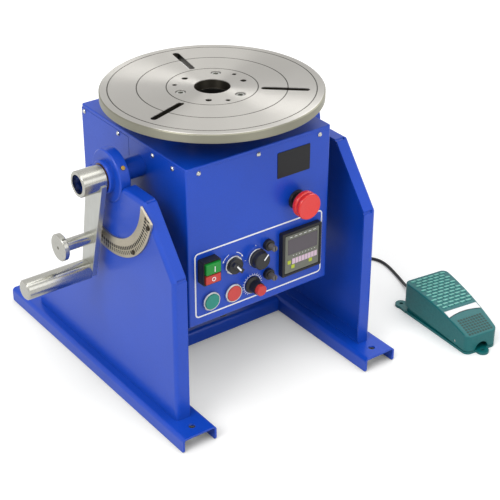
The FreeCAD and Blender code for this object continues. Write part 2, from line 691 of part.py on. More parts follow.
def involute_gear(teeth, thickness, bore_d, z, phase):
    """A spur gear with involute flanks; phase is the angle of a tooth's middle from +X, in degrees."""
    pitch_r = GEAR_MODULE * teeth / 2.0
    base_r = pitch_r * math.cos(math.radians(PRESSURE_ANGLE))
    tip_r = pitch_r + GEAR_MODULE
    root_r = pitch_r - 1.25 * GEAR_MODULE
    involute = math.tan(math.radians(PRESSURE_ANGLE)) - math.radians(PRESSURE_ANGLE)
    half_pitch = math.pi / (2 * teeth) - GEAR_BACKLASH / (2 * pitch_r)

    def half_angle(radius):
        if radius <= base_r:
            return half_pitch + involute
        roll = math.sqrt((radius / base_r) ** 2 - 1)
        return half_pitch + involute - (roll - math.atan(roll))

    start_r = max(base_r, root_r)
    radii = [root_r] + [start_r + (tip_r - start_r) * k / 3.0 for k in range(4)]
    if start_r == root_r:
        radii = radii[1:]
    points = []
    for tooth in range(teeth):
        middle = math.radians(phase) + 2 * math.pi * tooth / teeth
        rising = [(radius, middle - half_angle(radius)) for radius in radii]
        falling = [(radius, middle + half_angle(radius)) for radius in reversed(radii)]
        points += [V(r * math.cos(a), r * math.sin(a), 0) for r, a in rising + falling]
    body = Part.Face(Part.makePolygon(points + points[:1])).extrude(V(0, 0, thickness))
    if bore_d:
        body = body.cut(rod((0, 0, -1), Z_AXIS, bore_d, thickness + 2))
    body.translate(V(0, 0, z))
    return body


def spindle_gear():
    """The large gear with a hub that spaces it from the lower bearing."""
    bore = SPINDLE_D + SEAT_FIT / 2.0
    gear = involute_gear(GEAR_TEETH, GEAR_T, bore, GEAR_BOTTOM, 90.0)
    hub = turned([(bore / 2.0, GEAR_TOP), (SHOULDER_D / 2.0, GEAR_TOP), (SHOULDER_D / 2.0, LOWER_BEARING),
                  (bore / 2.0, LOWER_BEARING)], V(0, 0, 0), Z_AXIS)
    holes = []
    for i in range(GEAR_HOLE_COUNT):
        at = polar(GEAR_HOLE_R, 360.0 * i / GEAR_HOLE_COUNT, GEAR_BOTTOM - 1)
        holes.append(rod(at, Z_AXIS, GEAR_HOLE_D, GEAR_T + 2))
    return gear.fuse(hub).cut(Part.makeCompound(holes))


def spindle_nut():
    """Slotted ring nut below the gear."""
    bore, rim, bottom = SPINDLE_D / 2.0 + SEAT_FIT / 4.0, NUT_D / 2.0, GEAR_BOTTOM - NUT_T
    body = turned([(bore, bottom), (rim, bottom), (rim, GEAR_BOTTOM), (bore, GEAR_BOTTOM)], V(0, 0, 0), Z_AXIS)
    notches = []
    for i in range(4):
        notch = box((rim - 3, rim + 1), (-3, 3), (bottom - 1, GEAR_BOTTOM + 1))
        notch.rotate(V(0, 0, 0), Z_AXIS, 45 + 90 * i)
        notches.append(notch)
    return body.cut(Part.makeCompound(notches))


def table_screws():
    screws = []
    for angle in thirds(30):
        at = polar(TABLE_SCREW_PCD / 2.0, angle, TABLE_TOP - COUNTERBORE_DEPTH + TABLE_SCREW_HEAD_H)
        length = COUNTERBORE_DEPTH - TABLE_T
        screws.append(socket_screw(at, Z_AXIS, TABLE_SCREW_HEAD_D, TABLE_SCREW_HEAD_H, TABLE_SCREW_D,
                                   SPINDLE_FLANGE_T - length - 1))
    return screws


def make_turntable():
    save("table", table())
    save("table_screws", *table_screws())
    save("spindle", spindle())
    save("bearing_inner_rings", *bearing_rings(SPINDLE_D / 2.0 + SEAT_FIT / 4.0,
                                               SPINDLE_D / 2.0 + BEARING_RING_T))
    save("spindle_gear", spindle_gear())
    save("spindle_nut", spindle_nut())


# ---------------------------------------------------------------- head: housing and drive
def spindle_housing():
    """Flanged cast housing that holds both bearings and stands on the head's top plate."""
    outer, flange, bore = HOUSING_D / 2.0, HOUSING_FLANGE_D / 2.0, BEARING_OD / 2.0 + SEAT_FIT / 4.0
    waist = HOUSING_SHOULDER_D / 2.0
    flange_top = HEAD_TOP + HOUSING_FLANGE_T
    profile = [(waist, HOUSING_BOTTOM), (outer, HOUSING_BOTTOM), (outer, HEAD_TOP), (flange, HEAD_TOP),
               (flange, flange_top), (outer + 4, flange_top), (outer, flange_top + 4), (outer, HOUSING_TOP),
               (bore, HOUSING_TOP), (bore, UPPER_BEARING), (waist, UPPER_BEARING),
               (waist, LOWER_BEARING + BEARING_W), (bore, LOWER_BEARING + BEARING_W), (bore, LOWER_BEARING),
               (waist, LOWER_BEARING)]
    body = turned(profile, V(0, 0, 0), Z_AXIS)
    holes = [rod((p.x, p.y, HEAD_TOP - 1), Z_AXIS, HOUSING_SCREW_D + 2 * SEAT_FIT, HOUSING_FLANGE_T + 2)
             for p in housing_screw_places()]
    return body.cut(Part.makeCompound(holes))


def housing_screw_places():
    radius = (HOUSING_D + HOUSING_FLANGE_D) / 4.0 + 1.0
    return [polar(radius, 360.0 * (i + 0.5) / HOUSING_SCREW_COUNT) for i in range(HOUSING_SCREW_COUNT)]


def drive_bracket():
    """Bent plate below the spindle, hung from the head's top plate by two webs."""
    half = BRACKET_HALF_W
    span = (BRACKET_FRONT, BRACKET_BACK)
    plate = box((-half, half), span, (PLATE_UNDER, BRACKET_TOP))
    webs = [box((-half, -half + BRACKET_T), span, (PLATE_UNDER, TOP_UNDER)),
            box((half - BRACKET_T, half), span, (PLATE_UNDER, TOP_UNDER))]
    body = fused([plate] + webs)
    bends = edges_where(body, lambda c, e: along(e, Y_AXIS) and abs(c.z - PLATE_UNDER) < 0.1)
    body = body.makeFillet(4.0, bends)
    holes = [rod((0, 0, PLATE_UNDER - 1), Z_AXIS, SPINDLE_D + 8, BRACKET_T + 2),
             rod((0, CENTRE_DISTANCE, PLATE_UNDER - 1), Z_AXIS, PINION_SHAFT_D + 12, BRACKET_T + 2)]
    return body.cut(Part.makeCompound(holes))


def worm_gearbox():
    """Square gearbox bolted under the bracket, with a flange towards the motor and cast ribs."""
    half, y = GEARBOX_W / 2.0, CENTRE_DISTANCE
    front, bottom = y - GEARBOX_DEPTH / 2.0, PLATE_UNDER - GEARBOX_H
    body = box((-half, half), (front, front + GEARBOX_DEPTH), (bottom, PLATE_UNDER))
    body = body.makeFillet(5.0, edges_where(body, lambda c, e: along(e, Z_AXIS)))
    ribs = [box((-half - 2, -half + 1), (front + 8 + 10 * i, front + 12 + 10 * i),
                (bottom + 6, PLATE_UNDER - 6))
            for i in range(4)]
    flange = rod((half - 1, y, DRIVE_Z), X_AXIS, GEARBOX_FLANGE_D, GEARBOX_FLANGE_T + 1)
    bore = rod((0, y, PLATE_UNDER - PINION_SHAFT_DEPTH - 1), Z_AXIS, PINION_SHAFT_D + 2 * RUNNING_FIT,
               PINION_SHAFT_DEPTH + 2)
    return fused([body] + ribs + [flange]).cut(bore)


def drive_motor():
    """Direct-current motor on the gearbox's side, with an end cap and a terminal box."""
    x = GEARBOX_W / 2.0 + GEARBOX_FLANGE_T
    y, z, r = CENTRE_DISTANCE, DRIVE_Z, MOTOR_D / 2.0
    seam, end = x + MOTOR_L * 0.72, x + MOTOR_L
    profile = [(0, x), (r - 4, x), (r, x + 4), (r, seam), (r - 2, seam), (r - 2, seam + 3), (r, seam + 3),
               (r, end - 4), (r - 4, end), (0, end)]
    body = turned(profile, V(0, y, z), X_AXIS)
    terminal = box((x + 20, x + 50), (y - 12, y + 12), (z - r - 12, z - r + 6))
    return fused([body, terminal])


def drive_pinion():
    gear = involute_gear(PINION_TEETH, GEAR_T + 2, None, GEAR_BOTTOM - 1, 270.0 + 180.0 / PINION_TEETH)
    foot = PLATE_UNDER - PINION_SHAFT_DEPTH
    shaft = rod((0, 0, foot), Z_AXIS, PINION_SHAFT_D, GEAR_TOP + 3 - foot)
    body = gear.fuse(shaft)
    body.translate(V(0, CENTRE_DISTANCE, 0))
    return body


def earth_brush():
    """Holder under the bracket's plate and the brush that touches the spindle."""
    z = PLATE_UNDER
    inner = SPINDLE_D / 2.0 + 4.0
    holder = box((-inner - 36, -inner), (-9, 9), (z - 20, z))
    holder = holder.cut(box((-inner - 30, -inner + 1), (-5, 5), (z - 15, z - 5)))
    brush = box((-inner - 24, -SPINDLE_D / 2.0 + 6), (-4.9, 4.9), (z - 14.9, z - 5.1))
    brush = brush.cut(rod((0, 0, z - 20), Z_AXIS, SPINDLE_D + 2 * RUNNING_FIT, 20))
    return holder, brush


def speed_controller():
    """Circuit board on four pillars, with a transformer, a heat sink and capacitors."""
    floor = HEAD_BOTTOM + SHEET
    seat = floor + PILLAR_H + BOARD_T
    pillars = []
    for x in (BOARD_X[0] + PILLAR_INSET, BOARD_X[1] - PILLAR_INSET):
        for y in (BOARD_Y[0] + PILLAR_INSET, BOARD_Y[1] - PILLAR_INSET):
            pillars.append(rod((x, y, floor), Z_AXIS, PILLAR_D, PILLAR_H))
    board = box(BOARD_X, BOARD_Y, (floor + PILLAR_H, seat))
    x, y = TRANSFORMER_AT
    transformer = box((x, x + TRANSFORMER[0]), (y, y + TRANSFORMER[1]), (seat, seat + TRANSFORMER[2]))
    x, y = SINK_AT
    width = FIN_PITCH * (FIN_COUNT - 1) + FIN_T
    sink = [box((x, x + width), (y, y + FIN_L), (seat, seat + FIN_T))]
    for i in range(FIN_COUNT):
        left = x + FIN_PITCH * i
        sink.append(box((left, left + FIN_T), (y, y + FIN_L), (seat, seat + FIN_H)))
    cans = [rod((x, y, seat), Z_AXIS, CAN_D, CAN_H) for x, y in CANS_AT]
    return fused(pillars + [board, transformer] + sink + cans)


# ---------------------------------------------------------------- head: box and covers
def front_holes():
    """Everything that is cut out of the head's front wall."""
    y = PANEL - 1
    depth = SHEET + 2
    cuts = [rod((x, y, z), Y_AXIS, CONTROL_HOLE_D, depth)
            for x, z in (START_AT, STOP_AT, DIRECTION_AT, MODE_AT, ESTOP_AT)]
    cuts += [rod((x, y, z), Y_AXIS, FUSE_D + 2 * SEAT_FIT, depth) for x, z in FUSES_AT]
    cuts.append(rod((SPEED_AT[0], y, SPEED_AT[1]), Y_AXIS, 9.0 + 2 * SEAT_FIT, depth))
    half = COUNTER_BODY / 2.0 + SEAT_FIT
    x, z = COUNTER_AT
    cuts.append(box((x - half, x + half), (y, y + depth), (z - half, z + half)))
    half_w, half_h = POWER_W / 2.0 - 1.5, POWER_H / 2.0 - 1.5
    x, z = POWER_AT
    cuts.append(box((x - half_w, x + half_w), (y, y + depth), (z - half_h, z + half_h)))
    return cuts


def head_screw_places():
    """Seat and outward direction of every pan-head screw on the head."""
    top = HEAD_TOP - TOP_PLATE - LIP / 2.0 + 3.0
    places = [((x, PANEL, top), -Y_AXIS) for x in (-HEAD_X + 20, -4.0, HEAD_X - 20)]
    places += [((x, HEAD_BACK, top), Y_AXIS) for x in (-HEAD_X + 20, 0.0, HEAD_X - 20)]
    for y in (HEAD_BACK - 8, 55.0):
        places.append(((-HEAD_X, y, top), -X_AXIS))
        places.append(((-HEAD_X, y, ACCESS_BOTTOM + 6), -X_AXIS))
    for y in (-34.0, PANEL + 32):
        places.append(((-HEAD_X, y, top), -X_AXIS))
        places.append(((HEAD_X, y, top), X_AXIS))
    places.append(((HEAD_X, 100.0, top), X_AXIS))
    margin = REAR_COVER_MARGIN + COVER_REST / 2.0
    for x in (-HEAD_X + margin, HEAD_X - margin):
        for z in (HEAD_BOTTOM + margin, HEAD_TOP - TOP_PLATE - LIP - margin):
            places.append(((x, HEAD_BACK + COVER_T, z), Y_AXIS))
    return places


def head_shell():
    """Sheet-metal box, open at the top, with a ledge for the access cover and a window at the rear."""
    outer = box((-HEAD_X, HEAD_X), (HEAD_FRONT, HEAD_BACK), (HEAD_BOTTOM, TOP_UNDER))
    low = HEAD_BOTTOM + 0.1
    round_edges = edges_where(outer, lambda c, e: along(e, Z_AXIS) or (along(e, X_AXIS) and c.z < low))
    outer = outer.makeFillet(HEAD_CORNER_R, round_edges)
    inner = box((-INNER_X, INNER_X), (HEAD_FRONT + SHEET, HEAD_BACK - SHEET),
                (HEAD_BOTTOM + SHEET, TOP_UNDER + 1))
    cuts = [inner] + front_holes()
    access_top = TOP_UNDER + 1
    cuts.append(box((-HEAD_X - 1, -HEAD_X + COVER_T), (ACCESS_FRONT, HEAD_BACK + 1),
                    (ACCESS_BOTTOM, access_top)))
    cuts.append(box((-HEAD_X - 1, -INNER_X + 1), (ACCESS_FRONT + COVER_REST, HEAD_BACK - SHEET - COVER_REST),
                    (ACCESS_BOTTOM + COVER_REST, TOP_UNDER - LIP)))
    margin = REAR_COVER_MARGIN + COVER_REST
    cuts.append(box((-HEAD_X + margin, HEAD_X - margin), (HEAD_BACK - SHEET - 1, HEAD_BACK + 1),
                    (HEAD_BOTTOM + margin, HEAD_TOP - TOP_PLATE - LIP - margin)))
    for side in (-1, 1):
        cuts.append(rod((side * (INNER_X - 1), 0, AXIS_Z), V(side, 0, 0), TRUNNION_D + 2 * SEAT_FIT, SHEET + 2))
    x, y = UNDERSIDE_SOCKET_AT
    cuts.append(rod((x, y, HEAD_BOTTOM - 1), Z_AXIS, 12.0 + 2 * SEAT_FIT, SHEET + 2))
    return outer.cut(Part.makeCompound(cuts)).cut(screw_holes())


def screw_holes():
    holes = []
    for seat, axis in head_screw_places():
        start = V(*seat) + axis
        holes.append(Part.makeCylinder(PAN_SHANK_D / 2.0 + SEAT_FIT, 12.0, start, -axis))
    return Part.makeCompound(holes)


def top_cover():
    """Top plate with lips that hang inside the shell's walls."""
    plate = box((-HEAD_X, HEAD_X), (HEAD_FRONT, HEAD_BACK), (TOP_UNDER, HEAD_TOP))
    plate = plate.makeFillet(HEAD_CORNER_R, edges_where(plate, lambda c, e: along(e, Z_AXIS)))
    rim = edges_where(plate, lambda c, e: c.z > HEAD_TOP - 0.1)
    plate = plate.makeChamfer(1.0, rim)
    x, front, back = INNER_X - SEAT_FIT, HEAD_FRONT + SHEET + SEAT_FIT, HEAD_BACK - SHEET - SEAT_FIT
    lips = box((-x, x), (front, back), (TOP_UNDER - LIP, TOP_UNDER))
    lips = lips.cut(box((-x + 2, x - 2), (front + 2, back - 2), (TOP_UNDER - LIP - 1, TOP_UNDER + 1)))
    half = TRUNNION_FLANGE_D / 2.0 + 1.0
    lips = lips.cut(box((-x - 1, x + 1), (-half, half), (TOP_UNDER - LIP - 1, TOP_UNDER)))
    body = plate.fuse(lips).removeSplitter()
    cuts = [rod((0, 0, TOP_UNDER - 1), Z_AXIS, HOUSING_D + 2 * SEAT_FIT, TOP_PLATE + 2)]
    cuts += [rod((p.x, p.y, TOP_UNDER - 1), Z_AXIS, HOUSING_SCREW_D + 2 * SEAT_FIT, TOP_PLATE + 2)
             for p in housing_screw_places()]
    return body.cut(Part.makeCompound(cuts)).cut(screw_holes())


def left_access_cover():
    cover = box((-HEAD_X, -HEAD_X + COVER_T), (ACCESS_FRONT + COVER_SEAM, HEAD_BACK),
                (ACCESS_BOTTOM + COVER_SEAM, TOP_UNDER - COVER_SEAM))
    return cover.cut(screw_holes())


def rear_cover():
    """Flat plate on the rear wall with a row of vent slots and the holes of the two connectors."""
    m = REAR_COVER_MARGIN
    low, high = HEAD_BOTTOM + m, HEAD_TOP - TOP_PLATE - LIP - m
    cover = box((-HEAD_X + m, HEAD_X - m), (HEAD_BACK, HEAD_BACK + COVER_T), (low, high))
    cover = cover.makeFillet(6.0, edges_where(cover, lambda c, e: along(e, Y_AXIS)))
    cuts = []
    for i in range(VENT_COUNT):
        z = high - 30.0 - VENT_PITCH * i
        cuts.append(box((-VENT_L / 2.0, VENT_L / 2.0), (HEAD_BACK - 1, HEAD_BACK + COVER_T + 1),
                        (z - VENT_W / 2.0, z + VENT_W / 2.0)))
    for (x, z), diameter in REAR_CONNECTORS:
        cuts.append(rod((x, HEAD_BACK - 1, z), Y_AXIS, diameter + 2 * SEAT_FIT, COVER_T + 2))
    return cover.cut(Part.makeCompound(cuts)).cut(screw_holes())


def connectors():
    """Mains gland and welding return socket on the rear cover, and the socket under the head."""
    (gx, gz), gland_d = REAR_CONNECTORS[0]
    (sx, sz), socket_d = REAR_CONNECTORS[1]
    y = HEAD_BACK + COVER_T
    r = gland_d / 2.0
    gland = turned([(4, -8), (r, -8), (r, 0), (r + 4, 0), (r + 4, 6), (r + 1, 8), (r - 1, 18), (4, 18)],
                   (gx, y, gz), Y_AXIS)
    r = socket_d / 2.0
    socket = turned([(0, -14), (r, -14), (r, 0), (r + 5, 0), (r + 5, 4), (r + 1, 4), (r + 1, 14), (6.5, 14),
                     (6.5, 0), (0, 0)],
                    (sx, y, sz), Y_AXIS)
    x, front = UNDERSIDE_SOCKET_AT
    small = turned([(0, -12), (6, -12), (6, 0), (9, 0), (9, 3), (7, 3), (7, 8), (5, 8), (5, 2), (0, 2)],
                   (x, front, HEAD_BOTTOM), -Z_AXIS)
    return gland, socket, small


def head_screws():
    screws = [pan_screw(seat, axis, 6.5) for seat, axis in head_screw_places()]
    for place in housing_screw_places():
        top = (place.x, place.y, HEAD_TOP + HOUSING_FLANGE_T + 6.0)
        screws.append(socket_screw(top, Z_AXIS, 10.0, 6.0, 6.0, HOUSING_FLANGE_T + TOP_PLATE + 3))
    return screws


def trunnion(end, direction):
    """A trunnion: a tube through its bush, with a flange inside the head's wall."""
    outer, bore, flange = TRUNNION_D / 2.0, TRUNNION_BORE_D / 2.0, TRUNNION_FLANGE_D / 2.0
    start = INNER_X - TRUNNION_FLANGE_T
    profile = [(bore, start), (flange, start), (flange, INNER_X), (outer, INNER_X), (outer, end - 1),
               (outer - 1, end), (bore, end)]
    return turned(profile, TILT_POINT, direction)


def tilt_collar():
    """Left collar: open outer bore, wider inner bore on the trunnion."""
    outer, mouth, seat = COLLAR_D / 2.0, COLLAR_BORE_D / 2.0, TRUNNION_D / 2.0 + SEAT_FIT / 8.0
    start = BOSS_OUT + BODY_GAP
    profile = [(seat, start), (outer - 1, start), (outer, start + 1), (outer, COLLAR_END - 1),
               (outer - 1, COLLAR_END),
               (mouth, COLLAR_END), (mouth, TRUNNION_END), (seat, TRUNNION_END)]
    return turned(profile, TILT_POINT, -X_AXIS)


def retaining_collar():
    """Thin ring that holds the right trunnion, flush with its end."""
    outer, seat = COLLAR_D / 2.0, TRUNNION_D / 2.0 + SEAT_FIT / 8.0
    start = RIGHT_RING_OUT + BODY_GAP
    profile = [(seat, start), (outer, start), (outer, RIGHT_END - 1), (outer - 1, RIGHT_END), (seat, RIGHT_END)]
    return turned(profile, TILT_POINT, X_AXIS)


def in_tilt_plane(shape, degrees):
    """Turn a shape built straight down from the tilt axis to its angle towards the front."""
    shape.rotate(TILT_POINT, X_AXIS, -degrees)
    return shape


def tilt_lever():
    """Tapered flat bar from the collar down to the grip, with holes for the index barrel and the grip."""
    low, top = AXIS_Z - LEVER_R, AXIS_Z
    half_low, half_top = LEVER_END_W / 2.0, LEVER_TOP_W / 2.0
    bar = prism([(-half_low, low), (half_low, low), (half_top, top), (-half_top, top)], "x", -LEVER_OUTER,
                -LEVER_INNER)
    bar = bar.makeFillet(4.0, edges_where(bar, lambda c, e: along(e, X_AXIS) and c.z < low + 0.1))
    cuts = [rod((-LEVER_OUTER - 1, 0, AXIS_Z), X_AXIS, COLLAR_D + SEAT_FIT, LEVER_T + 2),
            rod((-LEVER_OUTER - 1, 0, AXIS_Z - INDEX_R), X_AXIS, BARREL_NOSE_D + SEAT_FIT, LEVER_T + 2),
            rod((-LEVER_OUTER - 1, 0, AXIS_Z - GRIP_R), X_AXIS, GRIP_SPIGOT_D + SEAT_FIT, LEVER_T + 2)]
    return in_tilt_plane(bar.cut(Part.makeCompound(cuts)), -LEVER_ANGLE)


def tilt_grip():
    r, spigot = GRIP_D / 2.0, GRIP_SPIGOT_D / 2.0
    profile = [(0, LEVER_INNER), (spigot, LEVER_INNER), (spigot, LEVER_OUTER), (r, LEVER_OUTER),
               (r, GRIP_END - 2),
               (r - 2, GRIP_END), (0, GRIP_END)]
    grip = turned(profile, TILT_POINT - Z_AXIS * GRIP_R, -X_AXIS)
    return in_tilt_plane(grip, -LEVER_ANGLE)


def plunger_barrel():
    """Index plunger's barrel: spring chamber, narrow outer mouth, nose through the lever and a nut."""
    r, nose, chamber = BARREL_D / 2.0, BARREL_NOSE_D / 2.0, CHAMBER_D / 2.0
    shank = PIN_SHANK_D / 2.0 + RUNNING_FIT
    nut = nose + 3.0
    inner_end = LEVER_INNER - BARREL_NUT_T
    profile = [(shank, inner_end), (nut, inner_end), (nut, LEVER_INNER), (nose, LEVER_INNER),
               (nose, LEVER_OUTER),
               (r, LEVER_OUTER), (r, BARREL_END - 0.8), (r - 0.8, BARREL_END), (shank, BARREL_END),
               (shank, BARREL_END - 3), (chamber, BARREL_END - 3), (chamber, CHAMBER_START),
               (shank, CHAMBER_START)]
    return in_tilt_plane(turned(profile, TILT_POINT - Z_AXIS * INDEX_R, -X_AXIS), -LEVER_ANGLE)


def index_pin():
    """Pull knob, shank, spring collar and tip in one piece."""
    shank, ring, tip, knob = PIN_SHANK_D / 2.0, PIN_COLLAR_D / 2.0, PIN_TIP_D / 2.0, KNOB_D / 2.0
    tip_end = FRAME_OUT + 0.6
    knob_in = BARREL_END + BODY_GAP
    knob_out = knob_in + KNOB_T
    profile = [(0, tip_end), (tip - 0.5, tip_end), (tip, tip_end + 1), (tip, FRAME_OUT + INDEX_T + 1.2),
               (shank, FRAME_OUT + INDEX_T + 2.4), (shank, CHAMBER_START + BODY_GAP),
               (ring, CHAMBER_START + BODY_GAP),
               (ring, CHAMBER_START + 3), (shank, CHAMBER_START + 3), (shank, knob_in), (knob - 1, knob_in),
               (knob, knob_in + 1), (knob, knob_out - 1), (knob - 1, knob_out), (2.2, knob_out),
               (2.2, knob_out - 2),
               (0, knob_out - 2)]
    return in_tilt_plane(turned(profile, TILT_POINT - Z_AXIS * INDEX_R, -X_AXIS), -LEVER_ANGLE)


def make_head():
    save("head_shell", head_shell())
    save("top_cover", top_cover())
    save("left_access_cover", left_access_cover())
    save("rear_cover", rear_cover())
    save("head_screws", *head_screws())
    save("connectors", *connectors())
    save("trunnions", trunnion(RIGHT_END, X_AXIS), trunnion(TRUNNION_END, -X_AXIS))
    save("shaft_collars", tilt_collar(), retaining_collar())
    save("tilt_lever", tilt_lever())
    save("tilt_grip", tilt_grip())
    save("plunger_barrel", plunger_barrel())
    save("index_pin", index_pin())
    save("spindle_housing", spindle_housing())
    save("bearing_outer_rings", *bearing_rings(SPINDLE_D / 2.0 + BEARING_RING_T + 0.4, BEARING_OD / 2.0))
    save("drive_bracket", drive_bracket())
    save("worm_gearbox", worm_gearbox())
    save("drive_motor", drive_motor())
    save("drive_pinion", drive_pinion())
    save("earth_brush", *earth_brush())
    save("speed_controller", speed_controller())


# ---------------------------------------------------------------- control panel
def panel_turned(profile, place, extra=0.0):
    """A turned piece on the panel; distances are measured outwards from the panel's face."""
    return turned(profile, (place[0], PANEL - extra, place[1]), -Y_AXIS)


def neck_profile():
    """A control's neck and the ring nut behind the panel, up to the panel's face."""
    bore = STEM_D / 2.0 + RUNNING_FIT
    neck, nut = CONTROL_HOLE_D / 2.0 - SEAT_FIT, CONTROL_NUT_D / 2.0
    nut_back = -SHEET - CONTROL_NUT_T
    return [(bore, -CONTROL_NECK_L), (neck, -CONTROL_NECK_L), (neck, nut_back), (nut, nut_back), (nut, -SHEET),
            (neck, -SHEET), (neck, 0)]


def contact_block(place):
    """Square block behind the panel, bored for the stem."""
    x, z = place
    half, back = CONTROL_BLOCK / 2.0, PANEL_BACK + CONTROL_BLOCK_GAP
    block = box((x - half, x + half), (back, back + CONTROL_BLOCK_L), (z - half, z + half))
    return block.cut(rod((x, PANEL, z), Y_AXIS, STEM_D + 2 * RUNNING_FIT, CONTROL_STEM_L + STEM_ROOM))


def device_housing(place, bore_d):
    """Housing of a 22 mm button or selector: bezel, neck through the panel and contact block behind."""
    bezel, bore, stem = CONTROL_BEZEL_D / 2.0, bore_d / 2.0, STEM_D / 2.0 + RUNNING_FIT
    profile = neck_profile() + [(bezel, 0), (bezel, CONTROL_BEZEL_T - 1), (bezel - 1, CONTROL_BEZEL_T),
                                (bore, CONTROL_BEZEL_T), (bore, CONTROL_RECESS), (stem, CONTROL_RECESS)]
    return fused([panel_turned(profile, place), contact_block(place)])


def push_button(place):
    r, stem = BUTTON_D / 2.0, STEM_D / 2.0
    front = CONTROL_BEZEL_T + BUTTON_PROUD
    back = CONTROL_RECESS + BUTTON_TRAVEL + RUNNING_FIT
    profile = [(0, -CONTROL_STEM_L), (stem, -CONTROL_STEM_L), (stem, back), (r, back), (r, front - BUTTON_EDGE),
               (r - BUTTON_EDGE, front), (0, front)]
    return panel_turned(profile, place)


def selector_knob(place, diameter, length, angle):
    """Round knob with a raised grip bar across its face."""
    r, stem = diameter / 2.0, STEM_D / 2.0
    base = CONTROL_BEZEL_T + BODY_GAP
    profile = [(0, -CONTROL_STEM_L), (stem, -CONTROL_STEM_L), (stem, base), (r, base), (r, base + 4),
               (r - 1.5, base + 5), (0, base + 5)]
    disc = panel_turned(profile, place)
    x, z = place
    half_w, half_l = KNOB_BAR_W / 2.0, r - 1.5
    bar = box((x - half_w, x + half_w), (PANEL - base - length, PANEL - base - 4), (z - half_l, z + half_l))
    bar = bar.makeFillet(1.5, edges_where(bar, lambda c, e: c.y < PANEL - base - length + 0.1))
    bar.rotate(V(x, 0, z), Y_AXIS, angle)
    return fused([disc, bar])


def mode_knob(place):
    """Tall round knob with two flats, as a pointer knob."""
    r, stem = MODE_KNOB_D / 2.0, STEM_D / 2.0
    base = CONTROL_BEZEL_T + BODY_GAP
    front = base + MODE_KNOB_L
    profile = [(0, -CONTROL_STEM_L), (stem, -CONTROL_STEM_L), (stem, base), (r, base), (r, base + 3),
               (r - 1, base + 4), (r - 1.5, front - 1.5),
               (r - 3, front), (0, front)]
    body = panel_turned(profile, place)
    flutes = []
    for i in range(MODE_FLUTES):
        angle = 2 * math.pi * i / MODE_FLUTES
        x, z = place[0] + (r + 1.2) * math.cos(angle), place[1] + (r + 1.2) * math.sin(angle)
        flutes.append(rod((x, PANEL - front - 1, z), Y_AXIS, MODE_FLUTE_D, MODE_KNOB_L - 4))
    return body.cut(Part.makeCompound(flutes))


def speed_knob(place):
    """Knob with a skirt, a fluted body and a cap."""
    skirt, body, cap = SPEED_SKIRT_D / 2.0, SPEED_BODY_D / 2.0, SPEED_CAP_D / 2.0
    front = BODY_GAP + SPEED_KNOB_L
    top = front + SPEED_CAP_L
    profile = [(0, -14), (3, -14), (3, BODY_GAP), (skirt, BODY_GAP), (skirt, BODY_GAP + 2.5),
               (body, BODY_GAP + 5),
               (body, front), (cap, front), (cap, top - 1), (cap - 1, top), (0, top)]
    return panel_turned(profile, place)


def speed_potentiometer(place):
    shaft = 3.0 + RUNNING_FIT
    x, z = place
    bushing = panel_turned([(shaft, -SHEET - 1), (4.5, -SHEET - 1), (4.5, 0), (shaft, 0)], place)
    can = panel_turned([(shaft, -SHEET - 20), (14, -SHEET - 20), (14, -SHEET), (shaft, -SHEET)], place)
    tags = [box((x - 6 + 5 * i, x - 4 + 5 * i), (PANEL_BACK + 4, PANEL_BACK + 5.2), (z - 20, z - 13))
            for i in range(3)]
    return fused([bushing.fuse(can)] + tags)


def estop_housing(place):
    bezel, stem = CONTROL_BEZEL_D / 2.0, STEM_D / 2.0 + RUNNING_FIT
    profile = neck_profile() + [(bezel, 0), (bezel - 1, 4), (bezel - 4, 5), (bezel - 4, 7), (stem, 7)]
    return fused([panel_turned(profile, place), contact_block(place)])


def estop_stem(place):
    """Plunger that the mushroom head turns on."""
    r, journal, front = STEM_D / 2.0, ESTOP_JOURNAL_D / 2.0, ESTOP_FACE - ESTOP_CROWN
    step = ESTOP_FACE - ESTOP_HEAD_L - 2
    profile = [(0, -CONTROL_STEM_L), (r, -CONTROL_STEM_L), (r, step), (journal, step), (journal, front),
               (0, front)]
    return panel_turned(profile, place)


def estop_head(place):
    """Mushroom head with a domed face and a hollow under its rim."""
    r, face, back = ESTOP_D / 2.0, ESTOP_FACE, ESTOP_FACE - ESTOP_HEAD_L
    hub, bore, roof = STEM_D / 2.0 + 2, ESTOP_JOURNAL_D / 2.0 + RUNNING_FIT, face - ESTOP_CROWN + RUNNING_FIT
    profile = [(0, face), (r * 0.5, face - 0.6), (r - 4, face - 2), (r - 1, face - 4.5), (r, face - 8),
               (r, face - 10), (r - 3, back + 2), (r - 6, back), (r - 9, back), (r - 9, back + 4),
               (hub, back + 4),
               (hub, back - 1), (bore, back - 1), (bore, roof), (0, roof)]
    return panel_turned(profile, place)


def fuse_holder(place):
    body, flange, cap = FUSE_D / 2.0, FUSE_FLANGE_D / 2.0, FUSE_CAP_D / 2.0 + RUNNING_FIT
    profile = [(0, -40), (body, -40), (body, 0), (flange, 0), (flange, FUSE_FLANGE_T - 1),
               (flange - 1, FUSE_FLANGE_T),
               (cap, FUSE_FLANGE_T), (cap, -20), (0, -20)]
    return panel_turned(profile, place)


def fuse_cap(place):
    r, front = FUSE_CAP_D / 2.0, FUSE_FLANGE_T + FUSE_CAP_L
    body = panel_turned([(0, -19), (r, -19), (r, front - 1), (r - 1, front), (0, front)], place)
    x, z = place
    slot_cut = box((x - 0.8, x + 0.8), (PANEL - front - 1, PANEL - front + 1.5), (z - r, z + r))
    return body.cut(slot_cut)


